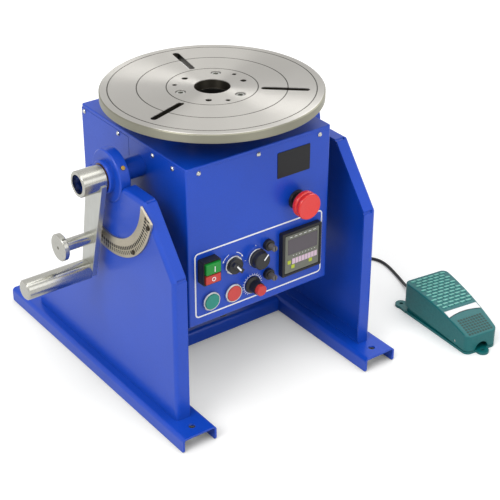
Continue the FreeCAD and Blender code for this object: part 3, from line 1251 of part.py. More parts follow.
def counter_module(place):
    """Square panel instrument with a raised bezel, a sunk window and a clamp frame behind."""
    x, z = place
    half, body = COUNTER_SIZE / 2.0, COUNTER_BODY / 2.0
    front = PANEL - COUNTER_BEZEL
    bezel = box((x - half, x + half), (front, PANEL), (z - half, z + half))
    bezel = bezel.makeFillet(2.0, edges_where(bezel, lambda c, e: along(e, Y_AXIS)))
    bezel = bezel.makeFillet(1.2, edges_where(bezel, lambda c, e: c.y < front + 0.1))
    rear = box((x - body, x + body), (PANEL, PANEL + COUNTER_DEPTH), (z - body, z + body))
    clamp = box((x - half, x + half), (PANEL_BACK, PANEL_BACK + 6), (z - half, z + half))
    window = box((x - half + 4, x + half - 4), (front - 1, front + 1.0), (z - half + 4, z + half - 4))
    return fused([bezel, rear, clamp]).cut(window)


def power_switch():
    """Open-fronted housing of the main switch and its two buttons."""
    x, z = POWER_AT
    half_w, half_h = POWER_W / 2.0, POWER_H / 2.0
    front = PANEL - POWER_PROUD
    shell = box((x - half_w, x + half_w), (front, PANEL), (z - half_h, z + half_h))
    shell = shell.makeFillet(2.0, edges_where(shell, lambda c, e: along(e, Y_AXIS)))
    rear = box((x - half_w + 1.7, x + half_w - 1.7), (PANEL, PANEL + 34), (z - half_h + 1.7, z + half_h - 1.7))
    split = z + half_h - POWER_WALL - POWER_SPLIT * (POWER_H - 2 * POWER_WALL)
    low, high = z - half_h + POWER_WALL, z + half_h - POWER_WALL
    left, right = x - half_w + POWER_WALL, x + half_w - POWER_WALL
    pockets = [box((left, right), (front - 1, PANEL + 4), (split + 0.5, high)),
               box((left, right), (front - 1, PANEL + 4), (low, split - 0.5))]
    gap = 2 * SEAT_FIT
    buttons = []
    for bottom, top, proud in ((split + 0.5, high, 4.0), (low, split - 0.5, 3.2)):
        cap = box((left + gap, right - gap), (front - proud, PANEL + 4 - POWER_TRAVEL - BODY_GAP),
                  (bottom + gap, top - gap))
        rounded = edges_where(cap, lambda c, e: along(e, Y_AXIS) or c.y < front - proud + 0.1)
        buttons.append(cap.makeFillet(1.2, rounded))
    return fused([shell, rear]).cut(Part.makeCompound(pockets)), buttons[0], buttons[1]


def make_panel():
    housings = [device_housing(START_AT, BUTTON_D + 4 * SEAT_FIT),
                device_housing(STOP_AT, BUTTON_D + 4 * SEAT_FIT),
                device_housing(DIRECTION_AT, STEM_D + 4), device_housing(MODE_AT, STEM_D + 4)]
    save("device_housings", *housings)
    save("start_button", push_button(START_AT))
    save("stop_button", push_button(STOP_AT))
    save("direction_knob", selector_knob(DIRECTION_AT, DIRECTION_KNOB_D, DIRECTION_KNOB_L, DIRECTION_ANGLE))
    save("mode_knob", mode_knob(MODE_AT))
    save("speed_potentiometer", speed_potentiometer(SPEED_AT))
    save("speed_knob", speed_knob(SPEED_AT))
    save("estop_housing", estop_housing(ESTOP_AT))
    save("estop_stem", estop_stem(ESTOP_AT))
    save("estop_head", estop_head(ESTOP_AT))
    save("fuse_holders", *[fuse_holder(place) for place in FUSES_AT])
    save("upper_fuse_cap", fuse_cap(FUSES_AT[0]))
    save("lower_fuse_cap", fuse_cap(FUSES_AT[1]))
    save("counter_module", counter_module(COUNTER_AT))
    housing, on_button, off_button = power_switch()
    save("power_switch_housing", housing)
    save("power_on_button", on_button)
    save("power_off_button", off_button)


# ---------------------------------------------------------------- foot pedal
def placed_pedal(shape):
    """From the pedal's own axes to where it stands."""
    shape.rotate(V(0, 0, 0), Z_AXIS, PEDAL_TURN)
    shape.translate(V(PEDAL_AT[0], PEDAL_AT[1], 0))
    return shape


def pedal_plan(distance, low, high):
    """Rounded trapezium of the pedal, moved inwards by a distance, as a solid between two heights."""
    taper = (PEDAL_W - PEDAL_FRONT_W) / 2.0
    corners = [(0, 0), (taper, -PEDAL_L), (PEDAL_W - taper, -PEDAL_L), (PEDAL_W, 0)]
    solid = prism(inset(corners, distance), "z", low, high)
    return solid.makeFillet(PEDAL_CORNER_R - distance, edges_where(solid, lambda c, e: along(e, Z_AXIS)))


def tread_profile(drop, bottom_rear, bottom_front):
    """Side profile under the arched top, run across the pedal's whole width."""
    top = [V(-1, 1, PEDAL_REAR_H - drop), V(-1, -PEDAL_L / 2.0, PEDAL_MID_H - drop),
           V(-1, -PEDAL_L - 1, PEDAL_FRONT_H - drop)]
    front, rear = V(-1, -PEDAL_L - 1, bottom_front), V(-1, 1, bottom_rear)
    edges = [Part.Arc(*top).toShape(), Part.makeLine(top[2], front), Part.makeLine(front, rear),
             Part.makeLine(rear, top[0])]
    return Part.Face(Part.Wire(edges)).extrude(V(PEDAL_W + 2, 0, 0))


def pedal_tread():
    """Cast shell with skirts, hinged near its front, with a switch boss and a spring post inside."""
    outer = pedal_plan(0, 0, 70).common(tread_profile(0, PEDAL_SKIRT_REAR, PEDAL_SKIRT_FRONT))
    rim = edges_where(outer, lambda c, e: c.z > PEDAL_FRONT_H - 2 and not along(e, Z_AXIS))
    outer = outer.makeFillet(2.0, rim)
    inner = pedal_plan(PEDAL_WALL, -1, 70).common(tread_profile(PEDAL_WALL, -1, -1))
    middle = PEDAL_W / 2.0
    boss = box((middle - 5, middle + 5), (SWITCH_Y - 5, SWITCH_Y + 5), (SWITCH_TOP + SWITCH_CLEARANCE, 60))
    seat = rod((middle, SPRING_Y, SPRING_TOP), Z_AXIS, SPRING_D + 3, 30)
    post = rod((middle, SPRING_Y, SPRING_TOP - 6), Z_AXIS, SPRING_D - 2 * SPRING_WIRE_D - 1, 30)
    inside = outer.common(fused([seat, post])).fuse(outer.common(boss))
    body = outer.cut(inner).fuse(inside)
    hinge = rod((-1, PEDAL_HINGE[0], PEDAL_HINGE[1]), X_AXIS, PEDAL_PIN_D + 2 * RUNNING_FIT, PEDAL_W + 2)
    rear_notch = box((middle - GLAND_D / 2.0 - 2, middle + GLAND_D / 2.0 + 2), (-PEDAL_WALL - 1, 1),
                     (0, PEDAL_GLAND_Z + GLAND_D / 2.0 + PEDAL_REAR_TRAVEL + 1))
    front_notch = rod((middle, -PEDAL_L - 1, PEDAL_SKIRT_FRONT), Y_AXIS, 2 * LUG_R + 4, PEDAL_WALL + 4)
    return body.cut(Part.makeCompound([hinge, rear_notch, front_notch]))


def pedal_lugs():
    """Centres of the two fixing lugs."""
    return ((8.0, LUG_R + 3.0), (PEDAL_W / 2.0, -PEDAL_L - 3.0))


def pedal_base():
    """Base plate with two fixing lugs and an upstand inside the tread's skirt that carries the hinge pin."""
    plate = pedal_plan(0, 0, PEDAL_FLANGE_T)
    lugs = []
    for x, y in pedal_lugs():
        lugs.append(rod((x, y, 0), Z_AXIS, 2 * LUG_R, PEDAL_FLANGE_T))
        root = -PEDAL_CORNER_R if y > 0 else -PEDAL_L + PEDAL_CORNER_R
        lugs.append(box((x - LUG_R, x + LUG_R) if y < 0 else (x - LUG_R + 2, x + LUG_R),
                        (min(y, root), max(y, root)), (0, PEDAL_FLANGE_T)))
    wall, middle = PEDAL_WALL + PEDAL_GAP, PEDAL_W / 2.0
    upstand = pedal_plan(wall, 0, PEDAL_HINGE[1] + 7)
    hollow = pedal_plan(wall + 2.5, PEDAL_FLANGE_T, 60)
    rear_wall = box((middle - 12, middle + 12), (-wall - 2.5, -wall), (0, PEDAL_GLAND_Z + 9))
    body = fused([plate, upstand] + lugs).cut(hollow)
    seat = rod((middle, SPRING_Y, 0), Z_AXIS, SPRING_D + 4, SPRING_BOTTOM)
    ledge = box((middle - 12, middle + 12), (SWITCH_Y - 12, SWITCH_Y + 12), (PEDAL_FLANGE_T - 1, SPRING_BOTTOM))
    body = fused([body, seat, rear_wall, ledge])
    nose = box((-1, PEDAL_W + 1), (-PEDAL_L + 1, PEDAL_HINGE[0] - 7), (PEDAL_FLANGE_T, 60))
    cuts = [nose, rod((-1, PEDAL_HINGE[0], PEDAL_HINGE[1]), X_AXIS, PEDAL_PIN_D + SEAT_FIT, PEDAL_W + 2),
            rod((middle, -wall - 5, PEDAL_GLAND_Z), Y_AXIS, GLAND_D * 0.7 + 2 * SEAT_FIT, 6)]
    cuts += [rod((x, y, -1), Z_AXIS, LUG_HOLE_D, PEDAL_FLANGE_T + 2) for x, y in pedal_lugs()]
    return body.cut(Part.makeCompound(cuts))


def pedal_spring():
    """Return spring between the base and the tread."""
    wire_r = SPRING_WIRE_D / 2.0
    r = SPRING_D / 2.0 - wire_r
    height = SPRING_TOP - SPRING_BOTTOM - 2 * wire_r - 0.2
    helix = Part.makeHelix(height / 5.0, height, r)
    section = Part.Wire(Part.Circle(V(r, 0, 0), Y_AXIS, wire_r).toShape())
    spring = Part.Wire(helix.Edges).makePipeShell([section], True, True)
    spring.translate(V(PEDAL_W / 2.0, SPRING_Y, SPRING_BOTTOM + wire_r + 0.1))
    return spring


def pedal_switch():
    """Small switch on the base's ledge, with its plunger under the tread's boss."""
    middle = PEDAL_W / 2.0
    body = box((middle - 10, middle + 10), (SWITCH_Y - 10, SWITCH_Y + 10), (SPRING_BOTTOM, SWITCH_TOP - 2))
    plunger = rod((middle, SWITCH_Y, SWITCH_TOP - 2), Z_AXIS, 4.0, 2.0)
    return body.fuse(plunger)


def gland(bore_d, length, collar_d, spigot):
    """Lead gland along +Z: spigot through the wall, nut and tapered strain relief."""
    bore, collar, neck = bore_d / 2.0 + SEAT_FIT, collar_d / 2.0, collar_d * 0.35
    return [(bore, -spigot), (neck, -spigot), (neck, 0), (collar, 0), (collar, 4), (collar - 2, 5),
            (bore + 1.2, length), (bore, length)]


def make_pedal():
    save("pedal_base", placed_pedal(pedal_base()))
    save("pedal_tread", placed_pedal(pedal_tread()))
    side = (PEDAL_W - PEDAL_FRONT_W) / 2.0 * -PEDAL_HINGE[0] / PEDAL_L + 0.5
    pin = rod((side, PEDAL_HINGE[0], PEDAL_HINGE[1]), X_AXIS, PEDAL_PIN_D, PEDAL_W - 2 * side)
    save("pedal_hinge_pin", placed_pedal(pin))
    save("pedal_spring", placed_pedal(pedal_spring()))
    save("pedal_switch", placed_pedal(pedal_switch()))
    wall = PEDAL_WALL + PEDAL_GAP
    rear = turned(gland(LEAD_D, PEDAL_GLAND_L + wall, GLAND_D, 2.5), (PEDAL_W / 2.0, -wall, PEDAL_GLAND_Z),
                  Y_AXIS)
    frame = turned(gland(LEAD_D, GLAND_L, GLAND_D, FRAME_T), (FRAME_OUT, GLAND_Y, GLAND_Z), X_AXIS)
    save("lead_glands", frame, placed_pedal(rear))


# ---------------------------------------------------------------- pedal lead
def rounded_path(points):
    """Straight runs joined by tangent arcs as large as their runs allow."""
    points = [V(*p) for p in points]
    edges, here = [], points[0]
    radii = []
    for before, corner, after in zip(points, points[1:], points[2:]):
        back, ahead = before - corner, after - corner
        turn = math.pi - back.getAngle(ahead)
        if turn < 1e-4:
            continue
        reach = 0.45 * min(back.Length, ahead.Length)
        radii.append(reach / math.tan(turn / 2.0))
        start = corner + back.normalize() * reach
        end = corner + ahead.normalize() * reach
        bisector = (start + end) * 0.5 - corner
        centre = corner + bisector.normalize() * math.hypot(radii[-1], reach)
        middle = centre + (corner - centre).normalize() * radii[-1]
        edges += [Part.makeLine(here, start), Part.Arc(start, middle, end).toShape()]
        here = end
    edges.append(Part.makeLine(here, points[-1]))
    return Part.Wire(edges), radii


def lead_tube(points):
    path, radii = rounded_path(points)
    direction = (V(*points[1]) - V(*points[0]))
    section = Part.Wire(Part.Circle(V(*points[0]), direction, LEAD_D / 2.0).toShape())
    tube = path.makePipeShell([section], True, False)
    expected = path.Length * math.pi * LEAD_D ** 2 / 4.0
    print("lead run %.1f mm, volume ratio %.4f, radii %s" % (path.Length, tube.Volume / expected,
                                                             [round(r) for r in radii]))
    return tube


def lead_coil():
    """Outer shape of the coil that takes up the rest of the lead."""
    half = COIL_TURNS_ACROSS * LEAD_D / 2.0
    inner, outer = COIL_MEAN_R - half, COIL_MEAN_R + half
    height = COIL_LAYERS * LEAD_D
    return turned([(inner, 0), (outer, 0), (outer, height), (inner, height)], (COIL_AT[0], COIL_AT[1], 0),
                  Z_AXIS)


def pedal_gland_end():
    tip = Part.Vertex(PEDAL_W / 2.0, PEDAL_GLAND_L, PEDAL_GLAND_Z)
    return placed_pedal(tip).Point


def make_lead():
    coil = lead_coil()
    save("pedal_lead_coil", coil)
    start = (FRAME_OUT + GLAND_L, GLAND_Y, GLAND_Z)
    end = pedal_gland_end()
    save("pedal_lead_inner", lead_tube([start] + LEAD_INNER).cut(coil))
    save("pedal_lead_outer", lead_tube(LEAD_OUTER + [(end.x, end.y, end.z)]).cut(coil))


os.makedirs("parts", exist_ok=True)
make_base()
make_turntable()
make_head()
make_panel()
make_pedal()
make_lead()
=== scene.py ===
"""Looks of a bench welding positioner: finishes, printed marks, tread relief and the pedal's lead.

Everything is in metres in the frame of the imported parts: the origin is the middle of the table's
top face, Z is up, X runs along the tilt axis with the lever on the -X side, and the control panel
faces -Y. Sizes in the classes below are millimetres.
"""

import logging
import math
from dataclasses import dataclass
from enum import Enum
from typing import Any, Callable, Sequence

import bmesh
import bpy
from mathutils import Matrix, Vector


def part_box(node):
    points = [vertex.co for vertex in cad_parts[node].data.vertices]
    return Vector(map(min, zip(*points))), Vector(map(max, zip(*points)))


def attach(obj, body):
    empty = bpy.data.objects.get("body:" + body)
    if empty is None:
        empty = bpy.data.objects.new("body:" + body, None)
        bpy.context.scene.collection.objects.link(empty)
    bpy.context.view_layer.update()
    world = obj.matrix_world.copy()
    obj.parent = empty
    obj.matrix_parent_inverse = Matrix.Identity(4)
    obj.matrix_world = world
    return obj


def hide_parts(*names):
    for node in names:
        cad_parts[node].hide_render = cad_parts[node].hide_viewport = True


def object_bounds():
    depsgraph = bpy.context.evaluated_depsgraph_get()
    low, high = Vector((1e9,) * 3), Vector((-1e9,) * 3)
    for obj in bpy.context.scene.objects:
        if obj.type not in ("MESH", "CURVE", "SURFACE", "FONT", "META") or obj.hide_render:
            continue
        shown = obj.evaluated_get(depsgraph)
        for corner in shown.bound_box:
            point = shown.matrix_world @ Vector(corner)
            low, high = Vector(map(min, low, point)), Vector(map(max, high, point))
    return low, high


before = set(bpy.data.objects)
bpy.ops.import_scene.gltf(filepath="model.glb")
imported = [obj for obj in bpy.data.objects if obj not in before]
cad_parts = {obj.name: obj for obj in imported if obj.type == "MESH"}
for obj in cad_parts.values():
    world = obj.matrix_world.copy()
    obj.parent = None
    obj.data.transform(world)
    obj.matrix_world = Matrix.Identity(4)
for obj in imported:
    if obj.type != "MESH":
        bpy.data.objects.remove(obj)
CAD_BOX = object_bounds()
FLOOR = CAD_BOX[0].z
MM = 0.001
MERGE_DISTANCE = 1e-7
LOG = logging.getLogger("positioner")
Point = tuple[float, float]
Triple = tuple[float, float, float]
Fill = Callable[[bmesh.types.BMesh], None]
Tree = bpy.types.NodeTree
Socket = bpy.types.NodeSocket


# ---------------------------------------------------------------- small helpers
def linear(code: str) -> tuple[float, float, float, float]:
    """Turn an sRGB hex colour into linear RGBA.

    Args:
        code: six hex digits, such as "3C5AC0".

    Returns:
        Four linear values, with full alpha.
    """
    values = [int(code[i : i + 2], 16) / 255 for i in (0, 2, 4)]
    mapped = [v / 12.92 if v <= 0.04045 else ((v + 0.055) / 1.055) ** 2.4 for v in values]
    return (mapped[0], mapped[1], mapped[2], 1.0)


def add(tree: Tree, kind: str, feeds: dict[Any, Any] | None = None, **settings: Any) -> bpy.types.Node:
    """Add one node to a tree.

    Args:
        tree: the node tree that gets the node.
        kind: the node's type name.
        feeds: value or source socket of each input, by the input's name or index.
        settings: attributes of the node itself.

    Returns:
        The new node.
    """
    node = tree.nodes.new(kind)
    for name, value in settings.items():
        setattr(node, name, value)
    for name, value in (feeds or {}).items():
        if isinstance(value, Socket):
            tree.links.new(value, node.inputs[name])
        else:
            node.inputs[name].default_value = value
    return node


def middle(node: str) -> Vector:
    """Centre of a CAD node's box, in metres."""
    low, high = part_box(node)
    return (low + high) / 2


def shift(x: float, y: float, z: float = 0.0) -> Matrix:
    """A move by millimetres."""
    return Matrix.Translation((x * MM, y * MM, z * MM))


def towards(azimuth: float, elevation: float) -> Vector:
    """Direction to an azimuth, counted from -Y, and an elevation, in degrees."""
    turn, lift = math.radians(azimuth), math.radians(elevation)
    return Vector((math.sin(turn) * math.cos(lift), -math.cos(turn) * math.cos(lift), math.sin(lift)))


def put_in_scene(name: str, data: bpy.types.ID) -> bpy.types.Object:
    """Make an object and link it to the scene.

    Args:
        name: the object's name.
        data: its mesh, curve, lamp or camera.

    Returns:
        The new object.
    """
    made = bpy.data.objects.new(name, data)
    bpy.context.scene.collection.objects.link(made)
    return made


def new_mesh(name: str, fill: Fill) -> bpy.types.Mesh:
    """Build a mesh with bmesh code.

    Args:
        name: name of the mesh.
        fill: function that puts the faces into an empty BMesh.

    Returns:
        The mesh, merged and with its faces pointing outwards.
    """
    work = bmesh.new()
    fill(work)
    bmesh.ops.remove_doubles(work, verts=work.verts, dist=MERGE_DISTANCE)
    bmesh.ops.recalc_face_normals(work, faces=work.faces)
    mesh = bpy.data.meshes.new(name)
    work.to_mesh(mesh)
    work.free()
    return mesh


def prism(outline: Sequence[Point], low: float, high: float) -> Fill:
    """Raise an outline from one height to another.

    Args:
        outline: its corners in X and Y, in millimetres.
        low: height of the lower face.
        high: height of the upper face.

    Returns:
        The function that puts the prism into a BMesh.
    """

    def fill(work: bmesh.types.BMesh) -> None:
        """Make the lower face and draw it up."""
        bottom = work.faces.new([work.verts.new((x * MM, y * MM, low * MM)) for x, y in outline])
        raised = bmesh.ops.extrude_face_region(work, geom=[bottom])
        moved = [v for v in raised["geom"] if isinstance(v, bmesh.types.BMVert)]
        bmesh.ops.translate(work, verts=moved, vec=(0, 0, (high - low) * MM))

    return fill


def ribbon(outer: Sequence[Point], inner: Sequence[Point], low: float, high: float) -> Fill:
    """Raise the closed band between two outlines.

    Args:
        outer: the outer outline, in millimetres.
        inner: the inner outline, with as many points.
        low: height of the lower face.
        high: height of the upper face.

    Returns:
        The function that puts the band into a BMesh.
    """

    def fill(work: bmesh.types.BMesh) -> None:
        """Join the four rings of corners with faces."""
        rings = []
        for outline, height in ((outer, low), (outer, high), (inner, high), (inner, low)):
            rings.append([work.verts.new((x * MM, y * MM, height * MM)) for x, y in outline])
        count = len(outer)
        for a, b in zip(rings, rings[1:] + rings[:1]):
            for i in range(count):
                work.faces.new((a[i], a[(i + 1) % count], b[(i + 1) % count], b[i]))

    return fill


def stroke(line: Sequence[Point], width: float, low: float, high: float) -> Fill:
    """Raise an open line of even width.

    Args:
        line: the middle line's points, in millimetres.
        width: the line's width.
        low: height of the lower face.
        high: height of the upper face.

    Returns:
        The function that puts the line into a BMesh.
    """
    left, right = [], []
    for i, (x, y) in enumerate(line):
        before, after = line[max(i - 1, 0)], line[min(i + 1, len(line) - 1)]
        along = Vector((after[0] - before[0], after[1] - before[1])).normalized() * (width / 2)
        left.append((x - along.y, y + along.x))
        right.append((x + along.y, y - along.x))
    return prism(left + right[::-1], low, high)


def lathe(profile: Sequence[Point], steps: int = 64) -> Fill:
    """Turn a profile about Z.

    Args:
        profile: radii and heights, in millimetres; both ends lie on the axis.
        steps: how many flats make the round.

    Returns:
        The function that puts the turned form into a BMesh.
    """

    def fill(work: bmesh.types.BMesh) -> None:
        """Make a ring for each point of the profile and join the rings with faces."""
        turns = [2 * math.pi * i / steps for i in range(steps)]
        rings = []
        for radius, z in profile:
            r = radius * MM
            rings.append([work.verts.new((r * math.cos(a), r * math.sin(a), z * MM)) for a in turns])
        for low, high in zip(rings, rings[1:]):
            for i in range(steps):
                work.faces.new((low[i], low[(i + 1) % steps], high[(i + 1) % steps], high[i]))

    return fill


def bar_outline(start: float, stop: float, width: float) -> list[Point]:
    """Outline of a straight bar along X."""
    return [(start, -width / 2), (stop, -width / 2), (stop, width / 2), (start, width / 2)]


def rounded(width: float, height: float, radius: float, steps: int = 6) -> list[Point]:
    """Outline of a rectangle with round corners about the origin.

    Args:
        width: its size along X, in millimetres.
        height: its size along Y.
        radius: the corners' radius.
        steps: how many flats make each corner.

    Returns:
        The outline's points, in order.
    """
    points = []
    for quarter, (sx, sy) in enumerate(((1, 1), (-1, 1), (-1, -1), (1, -1))):
        cx, cy = sx * (width / 2 - radius), sy * (height / 2 - radius)
        for i in range(steps + 1):
            angle = math.pi / 2 * (quarter + i / steps)
            points.append((cx + radius * math.cos(angle), cy + radius * math.sin(angle)))
    return points


def arc(radius: float, start: float, stop: float, steps: int = 24) -> list[Point]:
    """Points of an arc about the origin between two angles in degrees."""
    angles = [math.radians(start + (stop - start) * i / steps) for i in range(steps + 1)]
    return [(radius * math.cos(a), radius * math.sin(a)) for a in angles]


def circle(radius: float, steps: int = 48) -> list[Point]:
    """Points of a closed circle about the origin."""
    return arc(radius, 0.0, 360.0 - 360.0 / steps, steps - 1)


def on_panel(x: float, z: float, y: float | None = None) -> Matrix:
    """Place for a shape drawn flat in X and Y that then lies on a face that looks towards -Y.

    Args:
        x: place across, in metres.
        z: height, in metres.
        y: the face, in metres, or None for the panel's own.

    Returns:
        A matrix that stands the shape up, with its height pointing out of the face.
    """
    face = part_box("head_shell")[0].y if y is None else y
    return Matrix.Translation((x, face, z)) @ Matrix.Rotation(math.pi / 2, 4, "X")


def piece(name: str, mesh: bpy.types.Mesh, body: str, finish: "Finish", place: Matrix,
          smooth: bool = False, bevel: float = 0.0) -> bpy.types.Object:
    """Make one finished piece that rides on a CAD body.

    Args:
        name: the piece's name.
        mesh: its mesh.
        body: the CAD body that it rides on.
        finish: its finish.
        place: matrix that is applied to the mesh.
        smooth: whether its faces are shaded smooth.
        bevel: width of a bevel on its sharp edges, in millimetres.

    Returns:
        The new object, which sits at the origin.
    """
    mesh.transform(place)
    mesh.materials.clear()
    mesh.materials.append(finish.material())
    for face in mesh.polygons:
        face.use_smooth = smooth
    made = put_in_scene(name, mesh)
    if bevel:
        edge = made.modifiers.new("edge", "BEVEL")
        edge.width, edge.segments, edge.limit_method = bevel * MM, 2, "ANGLE"
    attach(made, body)
    LOG.info("%s rides on %s", name, body)
    return made


# ---------------------------------------------------------------- finishes
class Pattern(Enum):
    """How a surface was made, which sets its fine pattern."""

    GRAINY = "grainy"
    TURNED = "turned"
    BRUSHED = "brushed"
    HAMMERED = "hammered"


@dataclass(frozen=True)
class Finish:
    """One procedural finish; sizes in millimetres.

    The fine pattern is as wide as grain and as high as relief. Edge is how far edges look rounded, and axis
    is the way of the brushing or the axis of the turning. Wear is the share by which roughness varies,
    stretch the width of a brush mark against its length, and blotches how many slow changes of colour a
    metre holds. Blend is where the mix of both colours starts and ends.
    """

    name: str
    colour: str
    shade: str
    roughness: float
    metallic: float = 0.0
    coat: float = 0.0
    grain: float = 1.5
    relief: float = 0.02
    edge: float = 0.4
    pattern: Pattern = Pattern.GRAINY
    axis: str = "Z"
    wear: float = 0.15
    stretch: float = 0.03
    blotches: float = 14.0
    blend: Point = (0.6, 1.5)
    coat_roughness: float = 0.12

    def coordinates(self, tree: Tree, scale: Sequence[float]) -> Socket:
        """Object coordinates with one scale for each axis."""
        source = add(tree, "ShaderNodeTexCoord").outputs["Object"]
        return add(tree, "ShaderNodeMapping", {"Vector": source, "Scale": tuple(scale)}).outputs["Vector"]

    def height(self, tree: Tree) -> Socket:
        """Build the fine pattern.

        Args:
            tree: the material's node tree.

        Returns:
            The pattern's height from 0 to 1.
        """
        density = 1 / (self.grain * MM)
        if self.pattern is Pattern.TURNED:
            # a wave's period is 0.314 units at a scale of 1
            feeds = {"Vector": self.coordinates(tree, (1.0, 1.0, 1.0)), "Scale": 0.314 * density,
                     "Distortion": 0.6, "Detail": 1.0, "Detail Scale": 0.02}
            wave = add(tree, "ShaderNodeTexWave", feeds, wave_type="RINGS", rings_direction=self.axis)
            return wave.outputs["Fac"]
        if self.pattern is Pattern.HAMMERED:
            feeds = {"Vector": self.coordinates(tree, (density,) * 3), "Scale": 1.0}
            return add(tree, "ShaderNodeTexVoronoi", feeds, feature="SMOOTH_F1").outputs["Distance"]
        brushed = self.pattern is Pattern.BRUSHED
        scale = [density * (self.stretch if brushed and letter == self.axis else 1.0) for letter in "XYZ"]
        feeds = {"Vector": self.coordinates(tree, scale), "Scale": 1.0, "Detail": 3.0 if brushed else 2.0}
        return add(tree, "ShaderNodeTexNoise", feeds).outputs["Fac"]

    def tone(self, tree: Tree, height: Socket) -> Socket:
        """Build the colour.

        Args:
            tree: the material's node tree.
            height: the fine pattern's height.

        Returns:
            The colour, which drifts slowly over the piece and a little with the fine pattern.
        """
        feeds = {"Vector": self.coordinates(tree, (self.blotches,) * 3), "Scale": 1.0, "Detail": 3.0}
        drift = add(tree, "ShaderNodeTexNoise", feeds)
        both = add(tree, "ShaderNodeMath", {0: drift.outputs["Fac"], 1: height}, operation="ADD")
        feeds = {"Value": both.outputs[0], "From Min": self.blend[0], "From Max": self.blend[1]}
        share = add(tree, "ShaderNodeMapRange", feeds)
        feeds = {0: share.outputs["Result"], 6: linear(self.colour), 7: linear(self.shade)}
        return add(tree, "ShaderNodeMix", feeds, data_type="RGBA").outputs[2]

    def dress(self, tree: Tree, shader: bpy.types.Node) -> None:
        """Room for a finish of its own kind to change the shader further."""

    def material(self) -> bpy.types.Material:
        """Make the Blender material the first time that it is asked for.

        Returns:
            The material, which all pieces of the finish share.
        """
        if self.name in bpy.data.materials:
            return bpy.data.materials[self.name]
        made = bpy.data.materials.new(self.name)
        made.use_nodes = True
        tree = made.node_tree
        tree.nodes.clear()
        height = self.height(tree)
        feeds = {"Value": height, "To Min": self.roughness * (1 - self.wear),
                 "To Max": self.roughness * (1 + self.wear)}
        worn = add(tree, "ShaderNodeMapRange", feeds)
        rounding = add(tree, "ShaderNodeBevel", {"Radius": self.edge * MM}, samples=4)
        feeds = {"Height": height, "Distance": self.relief * MM, "Normal": rounding.outputs["Normal"],
                 "Strength": 1.0}
        bump = add(tree, "ShaderNodeBump", feeds)
        shader = add(tree, "ShaderNodeBsdfPrincipled", {
            "Base Color": self.tone(tree, height), "Roughness": worn.outputs["Result"],
            "Metallic": self.metallic, "Coat Weight": self.coat, "Coat Roughness": self.coat_roughness,
            "Normal": bump.outputs["Normal"]})
        self.dress(tree, shader)
        add(tree, "ShaderNodeOutputMaterial", {"Surface": shader.outputs["BSDF"]})
        return made


@dataclass(frozen=True)
class TwoTone(Finish):
    """A finish that changes to another colour and roughness past a plane across one axis."""

    beyond: float = 0.0
    other: str = "141416"
    other_roughness: float = 0.45
    other_metallic: float = 0.0

    def dress(self, tree: Tree, shader: bpy.types.Node) -> None:
        """Swap colour, metal and roughness where the axis's value is above the plane's.

        Args:
            tree: the material's node tree.
            shader: its surface shader.
        """
        spot = add(tree, "ShaderNodeTexCoord").outputs["Object"]
        along = add(tree, "ShaderNodeSeparateXYZ", {"Vector": spot}).outputs[self.axis]
        past = add(tree, "ShaderNodeMath", {0: along, 1: self.beyond}, operation="GREATER_THAN").outputs[0]
        base = shader.inputs["Base Color"].links[0].from_socket
        rough = shader.inputs["Roughness"].links[0].from_socket
        for target, kind, result, feeds in (
                ("Base Color", "RGBA", 2, {6: base, 7: linear(self.other)}),
                ("Roughness", "FLOAT", 0, {2: rough, 3: self.other_roughness}),
                ("Metallic", "FLOAT", 0, {2: self.metallic, 3: self.other_metallic})):
            swap = add(tree, "ShaderNodeMix", {0: past, **feeds}, data_type=kind)
            tree.links.new(swap.outputs[result], shader.inputs[target])


@dataclass(frozen=True)
class QuietPaint(Finish):
    """A strong colour that throws only a greyed light on what stands near it."""

    thrown: str = "5D626E"

    def dress(self, tree: Tree, shader: bpy.types.Node) -> None:
        """Use the thrown colour for rays that come from a matt surface.

        Args:
            tree: the material's node tree.
            shader: its surface shader.
        """
        matt = add(tree, "ShaderNodeLightPath").outputs["Is Diffuse Ray"]
        base = shader.inputs["Base Color"].links[0].from_socket
        colour = add(tree, "ShaderNodeMix", {0: matt, 6: base, 7: linear(self.thrown)}, data_type="RGBA")
        tree.links.new(colour.outputs[2], shader.inputs["Base Color"])


